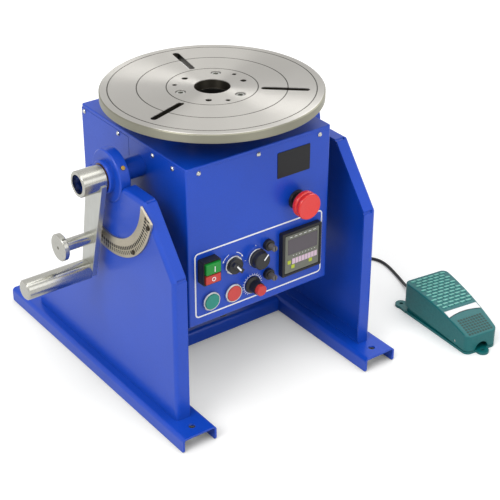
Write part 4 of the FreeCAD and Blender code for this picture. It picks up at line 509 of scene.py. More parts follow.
@dataclass(frozen=True)
class LatheSteel(Finish):
    """Face-turned steel, whose highlights fan out from the table's axis; its grooves and sunk holes carry
    painted shade and its rim a painted darker reflection; radii and depths in millimetres.
    """

    grooves: tuple[float, ...] = ()
    groove_width: float = 0.8
    # colour of the painted shade in the grooves
    groove_shade_colour: str = "5A5852"
    rim: float = 1000.0
    # colour of the painted darker reflection on the rim
    rim_reflection_shade: str = "9A9888"
    rim_width: float = 3.0
    # what is sunk deeper than pit inside the rim gets painted shade, holes and slots alike
    pit: float = -1.2
    pit_shade_colour: str = "4A463E"
    fan: float = 0.9
    fan_turn: float = 0.25

    def dress(self, tree: Tree, shader: bpy.types.Node) -> None:
        """Stretch the highlights along the tool's rings, paint shade into the grooves and sunk holes, and
        paint a darker reflection onto the rim.

        Args:
            tree: the material's node tree.
            shader: its surface shader.
        """
        tangent = add(tree, "ShaderNodeTangent", direction_type="RADIAL", axis="Z")
        tree.links.new(tangent.outputs["Tangent"], shader.inputs["Tangent"])
        shader.inputs["Anisotropic"].default_value = self.fan
        shader.inputs["Anisotropic Rotation"].default_value = self.fan_turn
        spot = add(tree, "ShaderNodeTexCoord").outputs["Object"]
        flat = add(tree, "ShaderNodeVectorMath", {0: spot, 1: (1 / MM, 1 / MM, 0.0)}, operation="MULTIPLY")
        reach = add(tree, "ShaderNodeVectorMath", {0: flat.outputs[0]}, operation="LENGTH").outputs["Value"]
        masks = []
        # painted shade in each groove
        for groove in self.grooves:
            feeds = {0: reach, 1: groove, 2: self.groove_width}
            masks.append((add(tree, "ShaderNodeMath", feeds, operation="COMPARE"), self.groove_shade_colour))
        # painted shade in holes and slots sunk below pit, inside the rim
        depth = add(tree, "ShaderNodeSeparateXYZ", {0: spot}).outputs["Z"]
        sunk = add(tree, "ShaderNodeMath", {0: depth, 1: self.pit * MM}, operation="LESS_THAN").outputs[0]
        feeds = {0: reach, 1: self.rim - self.rim_width}
        within = add(tree, "ShaderNodeMath", feeds, operation="LESS_THAN").outputs[0]
        masks.append((add(tree, "ShaderNodeMath", {0: sunk, 1: within}, operation="MULTIPLY"),
                      self.pit_shade_colour))
        # painted darker reflection on the rim
        beyond = add(tree, "ShaderNodeMath", {0: reach, 1: self.rim}, operation="GREATER_THAN")
        masks.append((beyond, self.rim_reflection_shade))
        colour = shader.inputs["Base Color"].links[0].from_socket
        for mask, code in masks:
            feeds = {0: mask.outputs[0], 6: colour, 7: linear(code)}
            colour = add(tree, "ShaderNodeMix", feeds, data_type="RGBA").outputs[2]
        tree.links.new(colour, shader.inputs["Base Color"])


# Tool rings, brush marks, pebbles and moulded grain are a few tenths of a millimetre wide on the real pieces,
# too fine to show, so each grain below is drawn as coarse as it needs to show.

# polyester powder coat on sheet steel: deep, slightly pebbled gloss
POWDER_BLUE = QuietPaint("powder_coat_blue", "064BCC", "0545BF", 0.34, coat=0.1, grain=2.2, relief=0.03,
                         edge=1.2)
# face-turned cast steel: satin grey with fine tool rings, painted shade in its grooves and holes and a
# painted darker reflection on its rim
TURNED_STEEL = LatheSteel("face_turned_steel", "CFCCC6", "C3C0BA", 0.38, 1.0, grain=1.4, relief=0.012,
                          edge=0.5, pattern=Pattern.TURNED, grooves=(65.0, 107.0, 148.0), rim=158.5)
# hard chrome on ground bar: soft mirror with faint marks of grinding
CHROME = Finish("hard_chrome", "C9C8C0", "B8B7AF", 0.2, 1.0, grain=1.0, relief=0.003, edge=0.5,
                pattern=Pattern.BRUSHED, axis="Y")
# zinc-plated flat bar: pale grey with brushing along its length
ZINC_PLATE = Finish("zinc_plated_bar", "D2D3CE", "BEBFB9", 0.30, 1.0, grain=1.2, relief=0.008, edge=0.7,
                    pattern=Pattern.BRUSHED)
# laser-cut nickel-plated plate: warm pale steel
INDEX_STEEL = Finish("nickel_plated_plate", "DAD2C0", "BDB39F", 0.34, 1.0, grain=1.6, relief=0.008, edge=0.3)
# machined and hardened steel, lightly oiled: mid grey with a low sheen
GEAR_STEEL = Finish("oiled_gear_steel", "9C9A95", "7F7D79", 0.30, 1.0, grain=1.0, relief=0.01, edge=0.2)
# bright zinc plating on screws and pins: small sharp glints
BRIGHT_STEEL = Finish("bright_zinc_screws", "DADAD6", "B8B8B2", 0.22, 1.0, grain=0.8, relief=0.004, edge=0.2)
# painted shade over the drilled index holes, and black in the engraved graduations: flat and very dark
HOLE_SHADE_AND_MARK_BLACK = Finish("painted_hole_shade_and_black_marks", "1B1713", "120F0C", 0.7, grain=1.0, relief=0.005, edge=0.0)
# sintered bush bronze: warm brown metal with open pores
BRONZE = Finish("sintered_bronze", "A8823C", "8E6B30", 0.35, 1.0, grain=0.8, relief=0.01, edge=0.3)
# machined cast iron: dark grey and a little rough
CAST_IRON = Finish("machined_cast_iron", "77757A", "5E5C60", 0.45, 1.0, grain=2.0, relief=0.05, edge=0.5)
# gravity-cast aluminium: pale, matt and lightly pitted
CAST_ALUMINIUM = Finish("cast_aluminium", "B4B6B8", "9C9EA0", 0.48, 1.0, grain=2.5, relief=0.06, edge=0.8)
# stoving enamel on the motor's body: dull black
MOTOR_BLACK = Finish("stoved_motor_enamel", "1D1E20", "141517", 0.4, grain=1.6, relief=0.03, edge=0.8)
# moulded ABS and polyamide: low, fine spark-eroded grain
BLACK_ABS = Finish("moulded_black_abs", "1E1D1F", "161617", 0.42, grain=0.8, relief=0.02, edge=0.5)
SATIN_BLACK = Finish("moulded_black_knob", "29292B", "1D1D1F", 0.34, grain=1.0, relief=0.015, edge=0.5)
GREY_NYLON = Finish("moulded_grey_nylon", "6E6A6A", "5B5758", 0.5, grain=0.8, relief=0.02, edge=0.4)
# button caps and the stop's head: smooth moulded plastic with a clear gloss
GREEN_CAP = Finish("moulded_green_cap", "129A8A", "0E8D7E", 0.33, coat=0.2, grain=1.0, relief=0.01)
RED_CAP = Finish("moulded_red_cap", "DE4540", "D03A36", 0.33, coat=0.2, grain=1.0, relief=0.01)
SWITCH_GREEN = Finish("moulded_green_rocker", "0C9A35", "0A8A2F", 0.35, grain=1.0, relief=0.01)
SWITCH_RED = Finish("moulded_red_rocker", "D8413A", "C83831", 0.35, grain=1.0, relief=0.01)
ESTOP_RED = Finish("moulded_red_mushroom", "F4352F", "E62D2A", 0.30, coat=0.3, grain=1.4, relief=0.01,
                   edge=0.8)
# die-cast tread and base in hammer enamel: small soft dimples
PEDAL_ENAMEL = Finish("hammer_enamel_teal", "006A6C", "006062", 0.42, grain=3.0, relief=0.05, edge=1.2,
                      pattern=Pattern.HAMMERED)
# the same enamel, pale with a painted highlight on what stands up and dark with painted shade in what is sunk
TREAD_HIGHLIGHT = Finish("hammer_enamel_painted_highlight", "7CC9BC", "5FB3A6", 0.32, coat=0.3, grain=2.0, relief=0.03,
                      edge=0.5)
TREAD_SHADE = Finish("hammer_enamel_painted_shade", "063F3B", "053532", 0.5, grain=2.0, relief=0.03, edge=0.3)
# screen print and brushed-on paint: even, nearly flat white
WHITE_PRINT = Finish("screen_print_white", "FFFFFF", "FAFBFF", 0.45, grain=1.0, relief=0.005, edge=0.1)
# black anodised aluminium: dark satin, brushed along the plate
BARE_PLATE = Finish("anodised_black_plate", "17171A", "101012", 0.38, 0.2, grain=0.9, relief=0.008, edge=0.4,
                    pattern=Pattern.BRUSHED, axis="X")
# printed polyester film over the counter: a glossy smoked window, grey border and soft coloured keys
SMOKED_WINDOW = Finish("smoked_window", "554C54", "4A434B", 0.22, coat=0.5, grain=1.2, relief=0.002)
FILM_GREY = Finish("printed_film_grey", "7A7C70", "6D6F64", 0.4, grain=1.0, relief=0.004)
KEY_ROSE = Finish("pale_rose_keys", "E9CFE0", "DABDD2", 0.4, grain=1.0, relief=0.005)
KEY_LIME = Finish("lime_keys", "C7D63C", "B4C433", 0.4, grain=1.0, relief=0.005)
# plasticised PVC sheath: dull black that goes grey where it bends
PVC_BLACK = Finish("pvc_lead_black", "232325", "19191B", 0.5, grain=0.9, relief=0.03, edge=0.0)


def carried_over() -> dict[str, Finish]:
    """Choose the finish of each CAD node that is shown as it is.

    Returns:
        The finishes by the names of their nodes.
    """
    bezel_depth, collar_depth, screw_margin, board_top = 0.1, 6.9, 15.0, -285.5
    panel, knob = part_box("head_shell")[0].y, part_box("speed_knob")[0].y
    # satin chrome in front of the panel, black plastic behind it
    bezels = TwoTone("satin_chrome_bezels", "D4D6DA", "C2C4C8", 0.2, 1.0, grain=0.8, relief=0.004, edge=0.4,
                     axis="Y", beyond=panel + bezel_depth * MM)
    # a red moulded cap on a black skirt
    collar = TwoTone("red_and_black_knob", "D9403E", "C93835", 0.35, grain=1.0, relief=0.01, axis="Y",
                     beyond=knob + collar_depth * MM, other="1C1C1E")
    # the index plate's screws are blackened, and the set screws at the trunnions' height are brass
    screws = TwoTone("dark_and_brass_screws", "4A443C", "37322C", 0.4, 1.0, grain=0.8, relief=0.004, edge=0.2,
                     beyond=middle("trunnions").z - screw_margin * MM, other="C9A659", other_roughness=0.25,
                     other_metallic=1.0)
    # green lacquer on the board, grey plastic on what is soldered to it
    board = TwoTone("circuit_board", "1E5A34", "184A2B", 0.4, beyond=board_top * MM, other="3B3B40")
    groups = {
        POWDER_BLUE: ("feet", "cross_member", "left_side_frame", "right_side_frame", "bearing_housings",
                      "head_shell", "top_cover", "left_access_cover", "rear_cover", "drive_bracket",
                      "trunnions"),
        BRIGHT_STEEL: ("head_screws", "table_screws", "pedal_hinge_pin", "pedal_spring"),
        CHROME: ("shaft_collars", "tilt_grip", "plunger_barrel", "index_pin"),
        GEAR_STEEL: ("spindle", "bearing_inner_rings", "bearing_outer_rings", "spindle_gear", "spindle_nut",
                     "drive_pinion"),
        BLACK_ABS: ("counter_module", "power_switch_housing", "speed_potentiometer", "pedal_switch",
                    "connectors", "lead_glands", "earth_brush", "fuse_holders", "estop_housing",
                    "estop_stem"),
        GREY_NYLON: ("upper_fuse_cap", "lower_fuse_cap"),
        SATIN_BLACK: ("direction_knob", "mode_knob"),
        PEDAL_ENAMEL: ("pedal_tread", "pedal_base"),
        TURNED_STEEL: ("table",),
        INDEX_STEEL: ("index_plate",),
        ZINC_PLATE: ("tilt_lever",),
        BRONZE: ("bearing_bushes",),
        CAST_IRON: ("spindle_housing",),
        CAST_ALUMINIUM: ("worm_gearbox",),
        MOTOR_BLACK: ("drive_motor",),
        GREEN_CAP: ("start_button",),
        RED_CAP: ("stop_button",),
        SWITCH_GREEN: ("power_on_button",),
        SWITCH_RED: ("power_off_button",),
        bezels: ("device_housings",),
        collar: ("speed_knob",),
        screws: ("frame_screws",),
        board: ("speed_controller",),
    }
    return {node: finish for finish, nodes in groups.items() for node in nodes}


def dress_nodes() -> None:
    """Give every shown CAD node its finish."""
    for node, finish in carried_over().items():
        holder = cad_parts[node]
        if not holder.material_slots:
            holder.data.materials.append(finish.material())
        for slot in holder.material_slots:
            slot.material = finish.material()
        LOG.info("%s has %s", node, finish.name)


# ---------------------------------------------------------------- repeats made with Geometry Nodes
class Repeat:
    """A Geometry Nodes tree that sets copies of its host's mesh out by a rule.

    Each sum of the rule is a name, an operation and what it takes: numbers, inputs of the tree or earlier
    sums. The sums or inputs named X, Y and Z are a copy's place, Turn X and Turn Z its angles, and Count the
    number of copies; a copy for which Outside is true is left out.
    """

    name = "repeat"
    inputs: dict[str, str] = {}
    sums: tuple[tuple[Any, ...], ...] = ()

    def __init__(self) -> None:
        """Make the tree: named inputs, the rule, copies on its points, real geometry and the material."""
        self.tree = bpy.data.node_groups.new(self.name, "GeometryNodeTree")
        face = self.tree.interface
        face.new_socket("Geometry", in_out="INPUT", socket_type="NodeSocketGeometry")
        self.sockets = {}
        for label, kind in {**self.inputs, "Material": "NodeSocketMaterial"}.items():
            self.sockets[label] = face.new_socket(label, in_out="INPUT", socket_type=kind)
        face.new_socket("Geometry", in_out="OUTPUT", socket_type="NodeSocketGeometry")
        source = add(self.tree, "NodeGroupInput")
        known = self.rule(source)
        place, turn = (
            add(self.tree, "ShaderNodeCombineXYZ", {a: known[lead + a] for a in "XYZ" if lead + a in known})
            for lead in ("", "Turn "))
        line = add(self.tree, "GeometryNodeMeshLine", {"Count": known["Count"]})
        feeds = {"Geometry": line.outputs[0], "Position": place.outputs[0]}
        points = add(self.tree, "GeometryNodeSetPosition", feeds)
        if "Outside" in known:
            feeds = {"Geometry": points.outputs[0], "Selection": known["Outside"]}
            points = add(self.tree, "GeometryNodeDeleteGeometry", feeds)
        turned = add(self.tree, "FunctionNodeEulerToRotation", {"Euler": turn.outputs[0]})
        feeds = {"Points": points.outputs[0], "Instance": source.outputs["Geometry"],
                 "Rotation": turned.outputs[0]}
        copies = add(self.tree, "GeometryNodeInstanceOnPoints", feeds)
        real = add(self.tree, "GeometryNodeRealizeInstances", {"Geometry": copies.outputs[0]})
        feeds = {"Geometry": real.outputs[0], "Material": source.outputs["Material"]}
        dressed = add(self.tree, "GeometryNodeSetMaterial", feeds)
        add(self.tree, "NodeGroupOutput", {0: dressed.outputs[0]})

    def rule(self, source: bpy.types.Node) -> dict[str, Socket]:
        """Add the rule's sums in order.

        Args:
            source: the node that holds the tree's inputs.

        Returns:
            The sockets of the inputs, the copy's index and the sums, by name.
        """
        known = {label: source.outputs[label] for label in self.inputs}
        known["Index"] = add(self.tree, "GeometryNodeInputIndex").outputs[0]
        for label, operation, *parts in self.sums:
            feeds = {i: known.get(part, part) for i, part in enumerate(parts)}
            known[label] = add(self.tree, "ShaderNodeMath", feeds, operation=operation).outputs[0]
        return known

    def make(self, name: str, shape: bpy.types.Mesh, body: str, finish: Finish, place: Matrix,
             **sizes: float) -> bpy.types.Object:
        """Run the tree on a shape and keep the result as one plain piece.

        Args:
            name: the piece's name.
            shape: mesh of one copy.
            body: the CAD body that the piece rides on.
            finish: its finish.
            place: where the whole pattern goes.
            sizes: values of the tree's inputs, with _ for a space in the name.

        Returns:
            The finished piece.
        """
        host = put_in_scene(name + "_host", shape)
        modifier = host.modifiers.new("repeat", "NODES")
        modifier.node_group = self.tree
        modifier[self.sockets["Material"].identifier] = finish.material()
        for label, value in sizes.items():
            modifier[self.sockets[label.replace("_", " ")].identifier] = value
        ready = host.evaluated_get(bpy.context.evaluated_depsgraph_get())
        result = bpy.data.meshes.new_from_object(ready)
        host.modifiers.clear()
        bpy.data.objects.remove(host)
        return piece(name, result, body, finish, place)


class RoundRepeat(Repeat):
    """Copies on an arc about Z, each turned to face outwards; metres and radians."""

    name = "round_repeat"
    inputs = {"Count": "NodeSocketInt", "Radius": "NodeSocketFloat", "Start": "NodeSocketFloat",
              "Step": "NodeSocketFloat"}
    sums = (
        ("Turn Z", "MULTIPLY_ADD", "Index", "Step", "Start"),
        ("Cosine", "COSINE", "Turn Z"), ("X", "MULTIPLY", "Cosine", "Radius"),
        ("Sine", "SINE", "Turn Z"), ("Y", "MULTIPLY", "Sine", "Radius"),
    )


class RowRepeat(Repeat):
    """Copies in rows over an arched strip that narrows; every other row may be staggered."""

    name = "row_repeat"
    inputs = {"Columns": "NodeSocketInt", "Rows": "NodeSocketInt", "Pitch X": "NodeSocketFloat",
              "Pitch Y": "NodeSocketFloat", "Stagger": "NodeSocketFloat", "Half Width": "NodeSocketFloat",
              "Narrowing": "NodeSocketFloat", "Arch": "NodeSocketFloat", "Crown Y": "NodeSocketFloat",
              "Turn Z": "NodeSocketFloat"}
    sums = (
        ("Count", "MULTIPLY", "Columns", "Rows"),
        # the copy's row, and its place in the row about the row's middle
        ("Rows Before", "DIVIDE", "Index", "Columns"), ("Row", "FLOOR", "Rows Before"),
        ("Column", "MODULO", "Index", "Columns"), ("Last", "SUBTRACT", "Columns", 1.0),
        ("Middle", "MULTIPLY", "Last", 0.5), ("Centred", "SUBTRACT", "Column", "Middle"),
        ("Odd", "MODULO", "Row", 2.0), ("Staggered", "MULTIPLY_ADD", "Odd", "Stagger", "Centred"),
        ("X", "MULTIPLY", "Staggered", "Pitch X"),
        ("Forward", "MULTIPLY", "Pitch Y", -1.0), ("Y", "MULTIPLY", "Row", "Forward"),
        # height and slope on the arch
        ("Off", "SUBTRACT", "Y", "Crown Y"), ("Off Squared", "POWER", "Off", 2.0),
        ("Arch Squared", "POWER", "Arch", 2.0), ("Z Squared", "SUBTRACT", "Arch Squared", "Off Squared"),
        ("Z", "POWER", "Z Squared", 0.5),
        ("Sine", "DIVIDE", "Off", "Arch"), ("Slope", "ARCSINE", "Sine"),
        ("Turn X", "MULTIPLY", "Slope", -1.0),
        # what would stand past the strip's narrowing sides
        ("Limit", "MULTIPLY_ADD", "Y", "Narrowing", "Half Width"), ("Reach", "ABSOLUTE", "X"),
        ("Outside", "GREATER_THAN", "Reach", "Limit"),
    )


# ---------------------------------------------------------------- camera, light and floor
@dataclass(frozen=True)
class Lamp:
    """One broad distant lamp: its strength, where it shines from and how wide it is, in degrees."""

    name: str
    strength: float
    azimuth: float
    elevation: float
    spread: float

    def build(self) -> None:
        """Put the lamp in the scene."""
        data = bpy.data.lights.new(self.name, "SUN")
        data.energy, data.angle = self.strength, math.radians(self.spread)
        made = put_in_scene(self.name, data)
        made.rotation_mode = "QUATERNION"
        made.rotation_quaternion = towards(self.azimuth, self.elevation).to_track_quat("Z", "Y")


@dataclass
class Studio:
    """Camera, lamps and floor; lengths in metres, angles in degrees."""

    eye: Triple = (-1.0208, -1.4700, 0.7661)
    azimuth: float = -36.509
    elevation: float = 30.0
    roll: float = 0.206
    lens: float = 98.64
    sensor: float = 36.0
    clip: Point = (0.05, 50.0)
    lamps: tuple[Lamp, ...] = (Lamp("key", 0.95, -78.0, 42.0, 32.0), Lamp("overhead", 0.75, 20.0, 78.0, 50.0),
                               Lamp("fill", 0.35, 10.0, 25.0, 40.0))
    shine_towards: Triple = (0.6, 0.19, 0.47)
    shine_edge: float = 0.92
    shine: float = 3.2
    haze: float = 0.80
    ambient: float = 0.52
    floor_glow: float = 0.30
    floor_tone: float = 0.93
    floor_half: float = 12.0
    floor_depth: float = 0.02
    floor_gap: float = 0.0002
    # reach of the painted contact shadow, in metres
    contact_shadow_reach: float = 0.05

    def camera(self) -> None:
        """Set the camera at the viewing angle."""
        data = bpy.data.cameras.new("camera")
        data.lens, data.sensor_width = self.lens, self.sensor
        data.clip_start, data.clip_end = self.clip
        made = put_in_scene("camera", data)
        turn, roll = math.radians(self.azimuth), math.radians(self.roll)
        back = towards(self.azimuth, self.elevation)
        right = Vector((math.cos(turn), math.sin(turn), 0.0))
        up = back.cross(right)
        across = right * math.cos(roll) + up * math.sin(roll)
        upward = up * math.cos(roll) - right * math.sin(roll)
        axes = Matrix((across, upward, back)).transposed()
        made.matrix_world = Matrix.Translation(self.eye) @ axes.to_4x4()
        bpy.context.scene.camera = made

    def world(self) -> None:
        """White for the camera, a broad bright patch for mirrors, and an even fill for the rest."""
        made = bpy.data.worlds.new("surroundings")
        bpy.context.scene.world = made
        made.use_nodes = True
        tree = made.node_tree
        tree.nodes.clear()
        rays = add(tree, "ShaderNodeLightPath")
        feeds = {0: rays.outputs["Is Camera Ray"], 2: self.ambient, 3: 1.0}
        seen = add(tree, "ShaderNodeMix", feeds, data_type="FLOAT")
        way = tuple(Vector(self.shine_towards).normalized())
        feeds = {0: add(tree, "ShaderNodeTexCoord").outputs["Generated"], 1: way}
        along = add(tree, "ShaderNodeVectorMath", feeds, operation="DOT_PRODUCT")
        feeds = {"Value": along.outputs["Value"], "From Min": self.shine_edge, "From Max": 1.0,
                 "To Min": self.haze, "To Max": self.haze + self.shine}
        sheen = add(tree, "ShaderNodeMapRange", feeds, interpolation_type="SMOOTHSTEP")
        feeds = {0: rays.outputs["Is Glossy Ray"], 2: seen.outputs[0], 3: sheen.outputs["Result"]}
        strength = add(tree, "ShaderNodeMix", feeds, data_type="FLOAT")
        feeds = {"Color": (1.0, 1.0, 1.0, 1.0), "Strength": strength.outputs[0]}
        light = add(tree, "ShaderNodeBackground", feeds)
        add(tree, "ShaderNodeOutputWorld", {"Surface": light.outputs[0]})

    def floor(self) -> None:
        """White floor that keeps the shadow; its own glow fades where something stands on it, which paints a
        contact shadow there.
        """
        half = self.floor_half / MM
        square = [(-half, -half), (half, -half), (half, half), (-half, half)]
        mesh = new_mesh("floor", prism(square, -self.floor_depth / MM, 0.0))
        mesh.transform(Matrix.Translation((0, 0, FLOOR - self.floor_gap)))
        made = bpy.data.materials.new("floor_white")
        made.use_nodes = True
        tree = made.node_tree
        tree.nodes.clear()
        matt = add(tree, "ShaderNodeBsdfDiffuse", {"Color": (*(self.floor_tone,) * 3, 1.0)})
        seen = add(tree, "ShaderNodeLightPath").outputs["Is Camera Ray"]
        # painted contact shadow: ambient occlusion cuts the glow near what stands on the floor
        clear = add(tree, "ShaderNodeAmbientOcclusion", {"Distance": self.contact_shadow_reach}, samples=8).outputs["AO"]
        glow_after_contact_shadow = add(tree, "ShaderNodeMath", {0: clear, 1: self.floor_glow}, operation="MULTIPLY")
        glow = add(tree, "ShaderNodeMath", {0: seen, 1: glow_after_contact_shadow.outputs[0]}, operation="MULTIPLY")
        lift = add(tree, "ShaderNodeEmission", {"Strength": glow.outputs[0]})
        both = add(tree, "ShaderNodeAddShader", {0: matt.outputs[0], 1: lift.outputs[0]})
        add(tree, "ShaderNodeOutputMaterial", {"Surface": both.outputs[0]})
        mesh.materials.append(made)
        ground = put_in_scene("floor", mesh)

    def light(self) -> None:
        """Surroundings, a key from the left and above, a broad overhead and a weak front fill."""
        self.world()
        for lamp in self.lamps:
            lamp.build()
        bpy.context.scene.view_settings.view_transform = "Standard"


# ---------------------------------------------------------------- the pedal's lead
@dataclass
class PedalLead:
    """The lead from the right side frame to the pedal, with its spare length in a coil.

    Places and heights are millimetres, heights from the floor; angles are degrees.
    """

    diameter: float = 5.0
    start: Triple = (192.0, 86.0, 50.0)
    inner: tuple[Triple, ...] = (
        (212, 86, 49.5), (226, 86, 45), (239, 86, 35), (252, 86, 23), (266, 86, 14.5))
    outer: tuple[Triple, ...] = (
        (290, 84.2, 2.5), (327, 71.5, 2.5), (348, 65.5, 2.5), (366, 54, 2.5), (374.5, 37, 2.5),
        (373.5, 16, 2.5), (368, -6, 2.5), (361, -30, 2.5), (353, -50, 4.5), (346.5, -65, 9), (344, -79, 12))
    end: Triple = (342.4, -93.1, 12.0)
    coil: Point = (289.0, 118.5)
    turn_radii: Triple = (22.4, 27.6, 32.8)
    layers: Triple = (2.5, 7.6, 12.7)
    crossing: float = 30.0
    entry: float = -100.0
    leaving: float = -110.0
    spacing: float = 15.0

    def cells(self) -> list[Point]:
        """Radius and height of each turn, from the outside of the top layer to that of the bottom one."""
        order = ((2, 2), (1, 2), (0, 2), (0, 1), (0, 0), (1, 0), (1, 1), (2, 1), (2, 0))
        return [(self.turn_radii[r], self.layers[z]) for r, z in order]

    def turns(self) -> list[Triple]:
        """Lay the coil; each turn crosses to the next one's place a little earlier than the last.

        Returns:
            Points along the coil's turns.
        """
        cells = self.cells()
        last = self.entry + (len(cells) - 1) * (360.0 - self.crossing) + self.crossing
        stop = last + (self.leaving - last) % 360.0
        count = round((stop - self.entry) / self.spacing)
        points = []
        for i in range(count + 1):
            angle = self.entry + (stop - self.entry) * i / count
            turn, share = divmod(angle - self.entry, 360.0 - self.crossing)
            here = min(int(turn), len(cells) - 1)
            before = cells[max(here - 1, 0)]
            ease = min(share / self.crossing, 1.0) if here else 1.0
            ease = ease * ease * (3 - 2 * ease)
            radius, height = (b + (c - b) * ease for b, c in zip(before, cells[here]))
            if turn >= len(cells):
                radius, height = cells[-1]
            at = math.radians(angle)
            x, y = self.coil[0] + radius * math.cos(at), self.coil[1] + radius * math.sin(at)
            points.append((x, y, height))
        return points

    def build(self) -> None:
        """One spline from the frame's gland through the coil to the pedal's gland."""
        points = [self.start, *self.inner, *self.turns(), *self.outer, self.end]
        route = [Vector(p) * MM + Vector((0, 0, FLOOR)) for p in points]
        curve = bpy.data.curves.new("pedal_lead", "CURVE")
        curve.dimensions, curve.bevel_depth, curve.bevel_resolution = "3D", self.diameter / 2 * MM, 3
        curve.use_fill_caps, curve.resolution_u = True, 4
        spline = curve.splines.new("NURBS")
        spline.points.add(len(route) - 1)
        for control, at in zip(spline.points, route):
            control.co = (*at, 1.0)
        spline.order_u, spline.use_endpoint_u, spline.resolution_u = 3, True, 4
        curve.materials.append(PVC_BLACK.material())
        lead = put_in_scene("pedal_lead", curve)
        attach(lead, "base")
        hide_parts("pedal_lead_inner", "pedal_lead_coil", "pedal_lead_outer")
        LOG.info("pedal_lead has %d points", len(route))


# ---------------------------------------------------------------- printed marks, controls and index scale
@dataclass
class PanelPrint:
    """Printed frame, dial marks and the bare plate on the head's front; angles in degrees."""

    ink: float = 0.12
    line: float = 2.3
    side_margin: float = 10.5
    bottom_margin: float = 12.5
    frame_height: float = 105.5
    corner: float = 7.0
    plate: Point = (58.0, 40.0)
    plate_corner: float = 1.5
    plate_thickness: float = 0.8
    plate_bevel: float = 0.25
    plate_from_right: float = 66.0
    plate_from_top: float = 38.5
    tick: Point = (2.4, 0.6)
    speed_ring: Point = (15.0, 14.2)
    arrow_radius: float = 18.5
    arrow_line: float = 0.9
    arrow_feet: Point = (20.2, 16.8)
    arrow_point: float = math.degrees(0.16)

    def outline(self) -> None:
        """White rounded frame round the controls."""
        low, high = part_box("head_shell")
        width = (high.x - low.x) / MM - 2 * self.side_margin
        outer = rounded(width, self.frame_height, self.corner)
        inner = rounded(width - 2 * self.line, self.frame_height - 2 * self.line, self.corner - self.line)
        centre_z = low.z + (self.bottom_margin + self.frame_height / 2) * MM
        mesh = new_mesh("panel_outline", ribbon(outer, inner, 0.0, self.ink))
        piece("panel_outline", mesh, "head", WHITE_PRINT, on_panel((low.x + high.x) / 2, centre_z))

    def bare_plate(self) -> None:
        """Blank black plate above the panel."""
        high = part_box("top_cover")[1]
        place = on_panel(high.x - self.plate_from_right * MM, high.z - self.plate_from_top * MM)
        outline = rounded(*self.plate, self.plate_corner)
        mesh = new_mesh("bare_plate", prism(outline, 0.0, self.plate_thickness))
        piece("bare_plate", mesh, "head", BARE_PLATE, place, bevel=self.plate_bevel)

    def dials(self, repeat: RoundRepeat) -> None:
        """Ticks round the speed and mode knobs, and a ring round the speed knob.

        Args:
            repeat: the tree that sets the ticks out.
        """
        length, width = self.tick
        tick = new_mesh("tick", prism(bar_outline(-length / 2, length / 2, width), 0.0, self.ink))
        for name, knob, count, radius, start, step in (
                ("speed_ticks", "speed_knob", 21, 16.4, -60.0, 15.0),
                ("mode_ticks", "mode_knob", 2, 18.6, 90.0, 90.0)):
            at = middle(knob)
            repeat.make(name, tick.copy(), "head", WHITE_PRINT, on_panel(at.x, at.z), Count=count,
                        Radius=radius * MM, Start=math.radians(start), Step=math.radians(step))
        outer, inner = (circle(radius) for radius in self.speed_ring)
        at = middle("speed_knob")
        mesh = new_mesh("speed_ring", ribbon(outer, inner, 0.0, self.ink))
        piece("speed_ring", mesh, "head", WHITE_PRINT, on_panel(at.x, at.z))

    def arrows(self) -> None:
        """Short arcs with arrow heads beside the direction selector."""
        at = middle("direction_knob")
        place = on_panel(at.x, at.z)
        for name, start, stop in (("left_arrow", 110.0, 150.0), ("right_arrow", 70.0, 30.0)):
            line = stroke(arc(self.arrow_radius, start, stop, 10), self.arrow_line, 0.0, self.ink)
            piece(name, new_mesh(name, line), "head", WHITE_PRINT, place)
            lean = self.arrow_point if stop > start else -self.arrow_point
            corners = [(self.arrow_radius, stop + lean), *((radius, stop) for radius in self.arrow_feet)]
            tip = [(r * math.cos(math.radians(a)), r * math.sin(math.radians(a))) for r, a in corners]
            piece(name + "_head", new_mesh(name + "_head", prism(tip, 0.0, self.ink)), "head", WHITE_PRINT,
                  place)

    def build(self, repeat: RoundRepeat) -> None:
        """Every printed mark, and the plate.

        Args:
            repeat: the tree that sets the ticks out.
        """
        self.outline()
        self.bare_plate()
        self.dials(repeat)
        self.arrows()


